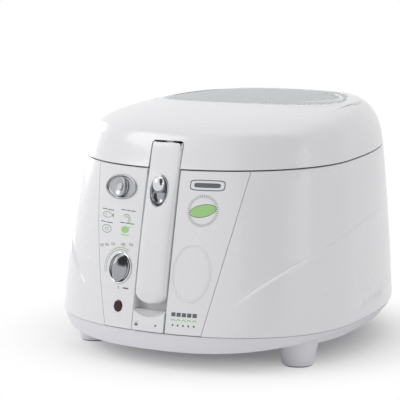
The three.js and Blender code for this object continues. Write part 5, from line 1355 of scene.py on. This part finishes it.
def build_release_key():
    """The key at the channel's foot, with its finger dish."""
    half, low, high = 15.7 * MM, 0.55 * MM, 19.55 * MM
    place = channel_frame()
    shape = Shape()
    shape.box((-half, -0.7 * MM, -low), (half, 8.9 * MM, high), place)
    bottom = 34.42 * MM
    bmesh.ops.bisect_plane(
        shape.bm, geom=list(shape.bm.verts) + list(shape.bm.edges) + list(shape.bm.faces),
        plane_co=(0, 0, bottom), plane_no=(0, 0, -1), clear_outer=True)
    open_edges = [edge for edge in shape.bm.edges if len(edge.link_faces) == 1]
    bmesh.ops.contextual_create(shape.bm, geom=open_edges)
    made = shape.piece(
        "release_key", finish_of("white_plastic"), "release_button", "white_plastic", ["lid_release_button"])
    dish = Shape()
    radius = 22 * MM
    above = place @ Matrix.Translation((0, -3 * MM, high + 0.45 * radius))
    dish.ball((radius, 0.7 * radius, 0.75 * radius), above, 96)
    cut(made, dish.cutter())
    soften(made, 0.7 * MM, 3, 40)
    face = slope_disc(0, -0.7 * MM, casing().channel_side)
    marks = Shape()
    padlock = [bar(-11.6 * MM, 5.6 * MM, 3.0 * MM, 2.0 * MM),
               swept_band((-11.6 * MM, 6.8 * MM), 1.1 * MM, 0.4 * MM, 0, 180, 12)]
    dot = oval(0.9 * MM, 0.9 * MM, 20, (8 * MM, 6.3 * MM))
    for outline in (*padlock, dot):
        stacked(marks, face, [(outline, -0.1 * MM), (outline, INK_THICKNESS)])
    marks.piece("key_marks", finish_of("ink"), "release_button", None, flat=True)


# ---------------------------------------------------------------- lid and filter cover

APEX = 59.8 * MM  # where the lid is highest, along Y
FALL_LENGTH, FALL_WIDTH = 150 * MM, 130 * MM
FALL = {"front": (12.67, 2.089), "back": (20.8, 2.171), "side": (14.4, 2.6)}  # drop in mm that far out, and its power


def lid_top(x, y):
    """Height of the lid's top surface."""
    ahead = (APEX - y) / FALL_LENGTH
    drop, power = FALL["front"] if ahead > 0 else FALL["back"]
    side_drop, side_power = FALL["side"]
    across = abs(x) / FALL_WIDTH
    return lid().top_height - (drop * abs(ahead) ** power + side_drop * across ** side_power) * MM


def lid_profile(turn, inset):
    """The lid's section at one turn: up the wall and over the shoulder to its top."""
    start = Vector((*casing_outline(1.0, inset).at(turn), 0))
    inward = (Vector((0, APEX, 0)) - start).normalized()
    front, back = max(0.0, inward.y) ** 2, max(0.0, -inward.y) ** 2
    side = 1 - front - back

    def blend(at_front, at_side, at_back):
        return at_front * front + at_side * side + at_back * back
    draft = blend(0.33, 0.18, 0.102)
    down, along = blend(18.5, 30.5, 16.4) * MM, blend(20.5, 29.5, 17.1) * MM
    base = seam_z(start.y) + casing().seam_gap / 2
    height = 40 * MM
    for _ in range(12):
        place = start + inward * (draft * height)
        height = lid_top(place.x, place.y) - inset - base

    def wall(up):
        point = start + inward * (draft * up)
        return Vector((point.x, point.y, base + up))

    def over(reach):
        point = start + inward * (draft * height + reach)
        return Vector((point.x, point.y, lid_top(point.x, point.y) - inset))
    low, corner, high = wall(height - down), wall(height), over(along)
    weight = 1 + 1.2 * front
    points = [wall(part * (height - down)) for part in (0.0, 0.25, 0.5, 0.8)]
    for step in range(13):
        part = step / 12
        parts = ((1 - part) ** 2, 2 * part * (1 - part) * weight, part ** 2)
        points.append((low * parts[0] + corner * parts[1] + high * parts[2]) / sum(parts))
    return points


def cover_outline(grow, count=COLUMNS):
    """The filter cover's outline."""
    sizes = lid()
    middle = (sizes.cover_front + sizes.cover_back) / 2
    reach = (sizes.cover_back - sizes.cover_front) / 2 + grow
    return oval(sizes.cover_half + grow, reach, count, (0, middle), 2.4)


def lid_rows():
    """Rings of the lid's closed skin, from its edge over the top to the cover's opening, and back."""
    sizes = lid()
    outer = [lid_profile(turn, 0.0) for turn in turns()]
    inner = [lid_profile(turn, sizes.wall) for turn in turns()]
    edge = 0.6 * MM
    rows = []

    def rims(profiles, lift, inward):
        ring = []
        for profile in profiles:
            to_middle = (Vector((0, APEX, 0)) - Vector((profile[0].x, profile[0].y, 0))).normalized()
            ring.append(profile[0] + to_middle * inward + Vector((0, 0, lift)))
        return ring
    rows.append(rims(outer, 0.0, edge))
    rows.append(rims(outer, 0.3 * edge, 0.3 * edge))
    rows.append(rims(outer, edge, 0.0))
    for step in range(1, len(outer[0])):
        rows.append([profile[step] for profile in outer])
    opening = cover_outline(0.0)
    for part in (0.2, 0.4, 0.6, 0.8, 1.0):
        rows.append(crown_ring([profile[-1] for profile in outer], opening, part, 0.0))
    ledge = cover_outline(-2.5 * MM)
    rows.append(crown_ring(rows[-1], opening, 1.0, 2.2 * MM))
    rows.append(crown_ring(rows[-1], ledge, 1.0, 2.2 * MM))
    rows.append(crown_ring(rows[-1], ledge, 1.0, 4.4 * MM))
    rows.append(crown_ring(rows[-1], cover_outline(2 * MM), 1.0, 4.4 * MM))
    for part in (0.75, 0.5, 0.25):
        rows.append(crown_ring([profile[-1] for profile in inner], cover_outline(2 * MM), part, sizes.wall))
    for step in range(len(inner[0]) - 1, 0, -1):
        rows.append([profile[step] for profile in inner])
    rows.append(rims(inner, 0.0, 0.0))
    return rows


def crown_ring(start, goal, part, below):
    """A ring on the lid's top, part of the way from one ring to an outline."""
    ring = []
    for point, (x, y) in zip(start, goal):
        across, along = mix(point.x, x, part), mix(point.y, y, part)
        ring.append(Vector((across, along, lid_top(across, along) - below)))
    return ring


def build_lid():
    """The white lid with its notch for the handle and its opening for the filter."""
    sizes = lid()
    shape = Shape()
    shape.loft(lid_rows(), again=True)
    made = shape.piece("lid_body", finish_of("white_plastic"), "lid", "white_plastic", ["lid_shell"])
    half, top = sizes.notch_half, 198.9 * MM
    notch = Shape()
    side = casing().channel_side
    corner = notch.box((side - half, -170 * MM, 150 * MM), (side + half, -126 * MM, top))
    edges = {e for v in corner for e in v.link_edges if all(u.co.z > top - MM for u in e.verts)}
    edges = [e for e in edges if abs(e.verts[0].co.x - e.verts[1].co.x) < MM]
    notch.bevel(edges, sizes.notch_round, 6)
    cutters = [notch.cutter()]
    for side in (-1, 1):
        x = side * 30 * MM
        cutters.append(block((x - 7.6 * MM, 137 * MM, 170 * MM), (x + 7.6 * MM, 190 * MM, 202.5 * MM)))
    slot_place = Matrix.Translation((101 * MM, 43 * MM, lid_top(101 * MM, 43 * MM)))
    cutters.append(block((-1.0 * MM, -5 * MM, -1.3 * MM), (1.0 * MM, 5 * MM, 10 * MM), slot_place))
    cut(made, *cutters)
    soften(made, 0.35 * MM, 2, 50)


BAND_LAP = 1.2 * MM  # how far the holed plate reaches under the plain band
GRILLE_DROP, GRILLE_THICKNESS = 0.45 * MM, 1.4 * MM
CORNER_CUT = 0.2929  # share of a square's side that makes an even octagon of it


def perforated(shape, inside, pitch, radius, thickness):
    """A plate on the lid's top, with rows of eight-sided holes."""
    sizes = lid()
    across = int(2 * sizes.cover_half / pitch / 2) * 2
    along = int((sizes.cover_back - sizes.cover_front) / pitch / 2) * 2
    middle = (sizes.cover_front + sizes.cover_back) / 2
    bm = shape.bm
    bmesh.ops.create_grid(
        bm, x_segments=across, y_segments=along, size=0.5,
        matrix=Matrix.Translation((0, middle, 0)) @ Matrix.Diagonal((across * pitch, along * pitch, 1, 1)))
    outer = [face for face in bm.faces if not any(inside(v.co.x, v.co.y, -BAND_LAP) for v in face.verts)]
    bmesh.ops.delete(bm, geom=outer, context="FACES")
    holed = [face for face in bm.faces if all(inside(v.co.x, v.co.y, 0.0) for v in face.verts)]
    bmesh.ops.inset_individual(bm, faces=holed, thickness=pitch / 2 - radius, use_even_offset=True)
    corners = {vertex for face in holed for vertex in face.verts}
    bmesh.ops.bevel(
        bm, geom=list(corners), offset=2 * radius * CORNER_CUT, offset_type="OFFSET", segments=1, profile=0.5,
        affect="VERTICES", material=-1, clamp_overlap=True)
    bmesh.ops.delete(bm, geom=[face for face in bm.faces if len(face.verts) == 8], context="FACES_ONLY")
    for vertex in bm.verts:
        vertex.co.z = lid_top(vertex.co.x, vertex.co.y) - GRILLE_DROP
    shape.thicken(bm.faces, (0, 0, -thickness))


def build_filter_cover():
    """The lift-out cover: a plain band round a field of small holes, with a finger lip."""
    sizes = lid()
    white = finish_of("white_plastic")
    gap, band = sizes.cover_gap, sizes.cover_band
    middle = (sizes.cover_front + sizes.cover_back) / 2
    reach = (sizes.cover_back - sizes.cover_front) / 2

    def inside(x, y, grow):
        wide, deep = sizes.cover_half - band - 1.0 * MM - grow, reach - band - 1.0 * MM - grow
        return abs(x / wide) ** 2.4 + abs((y - middle) / deep) ** 2.4 < 1
    grille = Shape()
    perforated(grille, inside, sizes.hole_pitch, sizes.hole_radius, GRILLE_THICKNESS)
    # The holed field takes the grey grille finish, darker than white to paint the shade in its holes
    grille.piece("filter_grille", finish_of("grille"), "filter_cover", "white_plastic", ["filter_cover"])
    shape = Shape()
    rows = []
    for grow, below in [(-gap, 1.9), (-gap, 0.5), (-gap - 0.2 * MM, 0.15), (-gap - 0.6 * MM, 0.0),
                        (-band + 0.6 * MM, 0.0), (-band + 0.15 * MM, 0.15), (-band, 0.5), (-band, 1.9)]:
        rows.append(crown_ring([Vector()] * COLUMNS, cover_outline(grow), 1.0, below * MM))
    shape.loft(rows, again=True)
    shape.piece("filter_cover_band", white, "filter_cover", "white_plastic")
    build_finger_lip(white)


def build_finger_lip(white):
    """A crescent ridge at the cover's right end, where it is lifted."""
    shape = Shape()
    count = 28
    rings = []
    centre, radius = (38 * MM, 37 * MM), 46 * MM
    for step in range(count + 1):
        part = step / count
        angle = math.radians(mix(-56, 58, part))
        full = math.sin(math.pi * part) ** 0.6
        wide, proud = 4.6 * MM * full + 0.1 * MM, 1.5 * MM * full + 0.02 * MM
        ring = []
        for across, up in [(-0.5, -0.9), (-0.5, 0.0), (-0.36, 0.7), (-0.1, 1.0), (0.15, 0.8), (0.5, 0.0), (0.5, -0.9)]:
            away = radius + across * wide
            x, y = centre[0] + away * math.cos(angle), centre[1] + away * math.sin(angle)
            ring.append(Vector((x, y, lid_top(x, y) - 0.6 * MM + up * proud)))
        rings.append(ring)
    shape.loft(rings, first_cap=True, last_cap=True)
    shape.piece("cover_finger_lip", white, "filter_cover", "white_plastic")


# ---------------------------------------------------------------- stage

LAMP_TARGET = (0, 0, 0.1)


def lamp(name, place, size, watts):
    """A soft lamp that looks at the fryer."""
    data = bpy.data.lights.new(name, "AREA")
    data.shape = "RECTANGLE"
    data.size, data.size_y = size
    data.energy = watts
    made = bpy.data.objects.new(name, data)
    made.location = place
    made.rotation_euler = (Vector(LAMP_TARGET) - Vector(place)).to_track_quat("-Z", "Y").to_euler()
    bpy.context.scene.collection.objects.link(made)
    return made


def seen_directly(tree):
    """1 for what the camera sees itself, in a shine or through glass."""
    path = tree.nodes.new("ShaderNodeLightPath")
    seen = path.outputs["Is Camera Ray"]
    for socket in ("Is Glossy Ray", "Is Transmission Ray"):
        both = tree.nodes.new("ShaderNodeMath")
        both.operation = "MAXIMUM"
        tree.links.new(seen, both.inputs[0])
        tree.links.new(path.outputs[socket], both.inputs[1])
        seen = both.outputs[0]
    return seen


def make_surroundings(daylight):
    """White surroundings with an even, weaker light."""
    world = bpy.data.worlds.new("surroundings")
    bpy.context.scene.world = world
    world.use_nodes = True
    tree = world.node_tree
    background = tree.nodes["Background"]
    strength = tree.nodes.new("ShaderNodeMapRange")
    strength.inputs["To Min"].default_value = daylight
    strength.inputs["To Max"].default_value = 1.0
    tree.links.new(seen_directly(tree), strength.inputs["Value"])
    background.inputs["Color"].default_value = (1, 1, 1, 1)
    tree.links.new(strength.outputs["Result"], background.inputs["Strength"])


def floor_finish(tint):
    """A pale floor that keeps the shadow and fades to white away from the fryer."""
    material = bpy.data.materials.new("floor")
    material.use_nodes = True
    tree = material.node_tree
    shader = tree.nodes["Principled BSDF"]
    shader.inputs["Roughness"].default_value = 0.9
    shader.inputs["Base Color"].default_value = (tint, tint, tint, 1)
    white = tree.nodes.new("ShaderNodeEmission")
    coordinates = tree.nodes.new("ShaderNodeTexCoord")
    away = tree.nodes.new("ShaderNodeVectorMath")
    away.operation = "DISTANCE"
    away.inputs[1].default_value = FADE_CENTRE
    fade = tree.nodes.new("ShaderNodeMapRange")
    fade.interpolation_type = "SMOOTHSTEP"
    fade.inputs["From Min"].default_value = FADE_START
    fade.inputs["From Max"].default_value = FADE_END
    fade.inputs["To Min"].default_value = FADE_LEAST
    seen = tree.nodes.new("ShaderNodeMath")
    seen.operation = "MULTIPLY"
    blended = tree.nodes.new("ShaderNodeMixShader")
    tree.links.new(coordinates.outputs["Object"], away.inputs[0])
    tree.links.new(away.outputs["Value"], fade.inputs["Value"])
    tree.links.new(fade.outputs["Result"], seen.inputs[0])
    tree.links.new(seen_directly(tree), seen.inputs[1])
    tree.links.new(seen.outputs[0], blended.inputs[0])
    tree.links.new(shader.outputs[0], blended.inputs[1])
    tree.links.new(white.outputs[0], blended.inputs[2])
    tree.links.new(blended.outputs[0], tree.nodes["Material Output"].inputs["Surface"])
    return material


def flag_finish():
    """Black cloth, for the flag that only polished parts reflect."""
    material = bpy.data.materials.new("flag cloth")
    material.use_nodes = True
    shader = material.node_tree.nodes["Principled BSDF"]
    shader.inputs["Base Color"].default_value = (0.09, 0.09, 0.094, 1)
    shader.inputs["Roughness"].default_value = 1.0
    shader.inputs["Specular IOR Level"].default_value = 0.0
    return material


CAMERA_PLACE = (0.70712, -1.36706, 0.34986)
FLOOR_RADIUS, FLOOR_THICKNESS = 12.0, 0.02
FLAG_PLACE = (1.08, -0.92, 1.05)
FLAG_HALF = (0.85, 1.2)  # half its width and height, in metres
FADE_CENTRE = (-0.012, 0.0, 0)
FADE_START, FADE_END = 0.10, 0.25  # metres from the centre of the shadow
FADE_LEAST = 0.12


def build_stage():
    """Camera, soft lamps, a flag, white surroundings and a pale floor."""
    scene = bpy.context.scene
    stage = scene.fryer_stage
    data = bpy.data.cameras.new("camera")
    data.lens = stage.lens
    camera = bpy.data.objects.new("camera", data)
    camera.location = CAMERA_PLACE
    camera.rotation_euler = (math.pi / 2 - stage.elevation, 0, stage.azimuth)
    scene.collection.objects.link(camera)
    scene.camera = camera
    scene.view_settings.view_transform = "Standard"
    make_surroundings(stage.daylight)
    ground = oval(FLOOR_RADIUS, FLOOR_RADIUS, 96)
    floor_shape = stacked(Shape(), Matrix(), [(ground, 0.0), (ground, -FLOOR_THICKNESS)])
    floor = floor_shape.piece("floor", floor_finish(stage.floor_shade), None, None)
    facing = (-Vector(FLAG_PLACE)).to_track_quat("Z", "Y").to_matrix().to_4x4()
    cloth = oval(*FLAG_HALF, 48, power=4.0)
    flag_shape = stacked(Shape(), Matrix.Translation(FLAG_PLACE) @ facing, [(cloth, 0.0), (cloth, -0.01)])
    flag = flag_shape.piece("flag", flag_finish(), None, None)
    flag.visible_camera = flag.visible_diffuse = flag.visible_shadow = flag.visible_transmission = False
    lamps = [
        lamp("key", (-1.5, -1.3, 1.5), (1.4, 1.0), 16.8),
        lamp("left", (-1.5, 0.75, 0.42), (0.5, 0.55), 4.6),
        lamp("top", (0.1, 0.1, 1.9), (1.6, 1.6), 3.5),
        lamp("right", (1.7, -0.5, 0.7), (0.9, 0.9), 2.6),
    ]


# ---------------------------------------------------------------- operators and panel

def finish_nodes():
    """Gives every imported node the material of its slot."""
    slots = {part["node"]: part["material_slot"] for part in frame["record"]["subparts"]}
    for made in bpy.data.objects:
        if made.type == "MESH" and made.name in slots:
            made.data.materials.clear()
            made.data.materials.append(finish_of(slots[made.name]))


class Step:
    """What every building step of the fryer shares."""

    bl_options = {"REGISTER", "UNDO"}

    def execute(self, context):
        type(self).make()
        return {"FINISHED"}


class FRYER_OT_finishes(Step, bpy.types.Operator):
    """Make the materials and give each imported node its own"""
    bl_idname = "fryer.finishes"
    bl_label = "Finishes"

    @staticmethod
    def make():
        FINISHES.update(make_finishes())
        finish_nodes()


class FRYER_OT_casing(Step, bpy.types.Operator):
    """Build the body's white shell and the handle's channel"""
    bl_idname = "fryer.casing"
    bl_label = "Body shell"
    make = staticmethod(build_casing)


class FRYER_OT_control_panel(Step, bpy.types.Operator):
    """Build the front panel that carries the controls"""
    bl_idname = "fryer.control_panel"
    bl_label = "Control panel"
    make = staticmethod(build_control_panel)


class FRYER_OT_drain_door(Step, bpy.types.Operator):
    """Build the door of the oil drain compartment"""
    bl_idname = "fryer.drain_door"
    bl_label = "Drain door"
    make = staticmethod(build_drain_door)


class FRYER_OT_prints(Step, bpy.types.Operator):
    """Print the numbers, signs and marks"""
    bl_idname = "fryer.prints"
    bl_label = "Prints"
    make = staticmethod(build_prints)


class FRYER_OT_bezels(Step, bpy.types.Operator):
    """Build the dished bezels of both knobs"""
    bl_idname = "fryer.bezels"
    bl_label = "Bezels"
    make = staticmethod(build_bezels)


class FRYER_OT_knobs(Step, bpy.types.Operator):
    """Build the timer's and the thermostat's knob"""
    bl_idname = "fryer.knobs"
    bl_label = "Knobs"
    make = staticmethod(build_knobs)


class FRYER_OT_lamp(Step, bpy.types.Operator):
    """Build the heating lamp's lens"""
    bl_idname = "fryer.lamp"
    bl_label = "Lamp lens"
    make = staticmethod(build_lamp)


class FRYER_OT_skirt(Step, bpy.types.Operator):
    """Build the grey base tray"""
    bl_idname = "fryer.skirt"
    bl_label = "Base skirt"
    make = staticmethod(build_skirt)


class FRYER_OT_feet(Step, bpy.types.Operator):
    """Build the four feet and their pads"""
    bl_idname = "fryer.feet"
    bl_label = "Feet"
    make = staticmethod(build_feet)


class FRYER_OT_handle(Step, bpy.types.Operator):
    """Build the folding handle's shell"""
    bl_idname = "fryer.handle"
    bl_label = "Handle"
    make = staticmethod(build_handle)


class FRYER_OT_slider(Step, bpy.types.Operator):
    """Build the chrome dish and the sliding button"""
    bl_idname = "fryer.slider"
    bl_label = "Slider"
    make = staticmethod(build_slider)


class FRYER_OT_release_key(Step, bpy.types.Operator):
    """Build the lid's release key"""
    bl_idname = "fryer.release_key"
    bl_label = "Release key"
    make = staticmethod(build_release_key)


class FRYER_OT_lid(Step, bpy.types.Operator):
    """Build the lid"""
    bl_idname = "fryer.lid"
    bl_label = "Lid"
    make = staticmethod(build_lid)


class FRYER_OT_filter_cover(Step, bpy.types.Operator):
    """Build the perforated filter cover"""
    bl_idname = "fryer.filter_cover"
    bl_label = "Filter cover"
    make = staticmethod(build_filter_cover)


class FRYER_OT_stage(Step, bpy.types.Operator):
    """Set up the camera, the lamps, the floor and the flag"""
    bl_idname = "fryer.stage"
    bl_label = "Stage"
    make = staticmethod(build_stage)


STEPS = [
    FRYER_OT_finishes, FRYER_OT_casing, FRYER_OT_control_panel, FRYER_OT_drain_door, FRYER_OT_prints,
    FRYER_OT_bezels, FRYER_OT_knobs, FRYER_OT_lamp, FRYER_OT_skirt, FRYER_OT_feet, FRYER_OT_handle,
    FRYER_OT_slider, FRYER_OT_release_key, FRYER_OT_lid, FRYER_OT_filter_cover, FRYER_OT_stage,
]


class FRYER_PT_build(bpy.types.Panel):
    """Lists the fryer's building steps"""
    bl_idname = "FRYER_PT_build"
    bl_label = "Deep fryer"
    bl_space_type = "VIEW_3D"
    bl_region_type = "UI"
    bl_category = "Fryer"

    def draw(self, context):
        for step in STEPS:
            self.layout.operator(step.bl_idname)


GROUPS = [
    ("fryer_casing", CasingSizes), ("fryer_lid", LidSizes), ("fryer_handle", HandleSizes),
    ("fryer_colours", FinishColours), ("fryer_stage", StageSizes),
]


def register():
    """Adds the sizes, the steps and the panel to Blender."""
    for name, group in GROUPS:
        bpy.utils.register_class(group)
        setattr(bpy.types.Scene, name, PointerProperty(type=group))
    for step in STEPS:
        bpy.utils.register_class(step)
    bpy.utils.register_class(FRYER_PT_build)


def unregister():
    """Takes them out again."""
    bpy.utils.unregister_class(FRYER_PT_build)
    for step in reversed(STEPS):
        bpy.utils.unregister_class(step)
    for name, group in reversed(GROUPS):
        delattr(bpy.types.Scene, name)
        bpy.utils.unregister_class(group)


def main():
    """Builds the fryer's looks in order."""
    register()
    for step in STEPS:
        family, name = step.bl_idname.split(".")
        getattr(getattr(bpy.ops, family), name)()


if __name__ == "__main__":
    main()
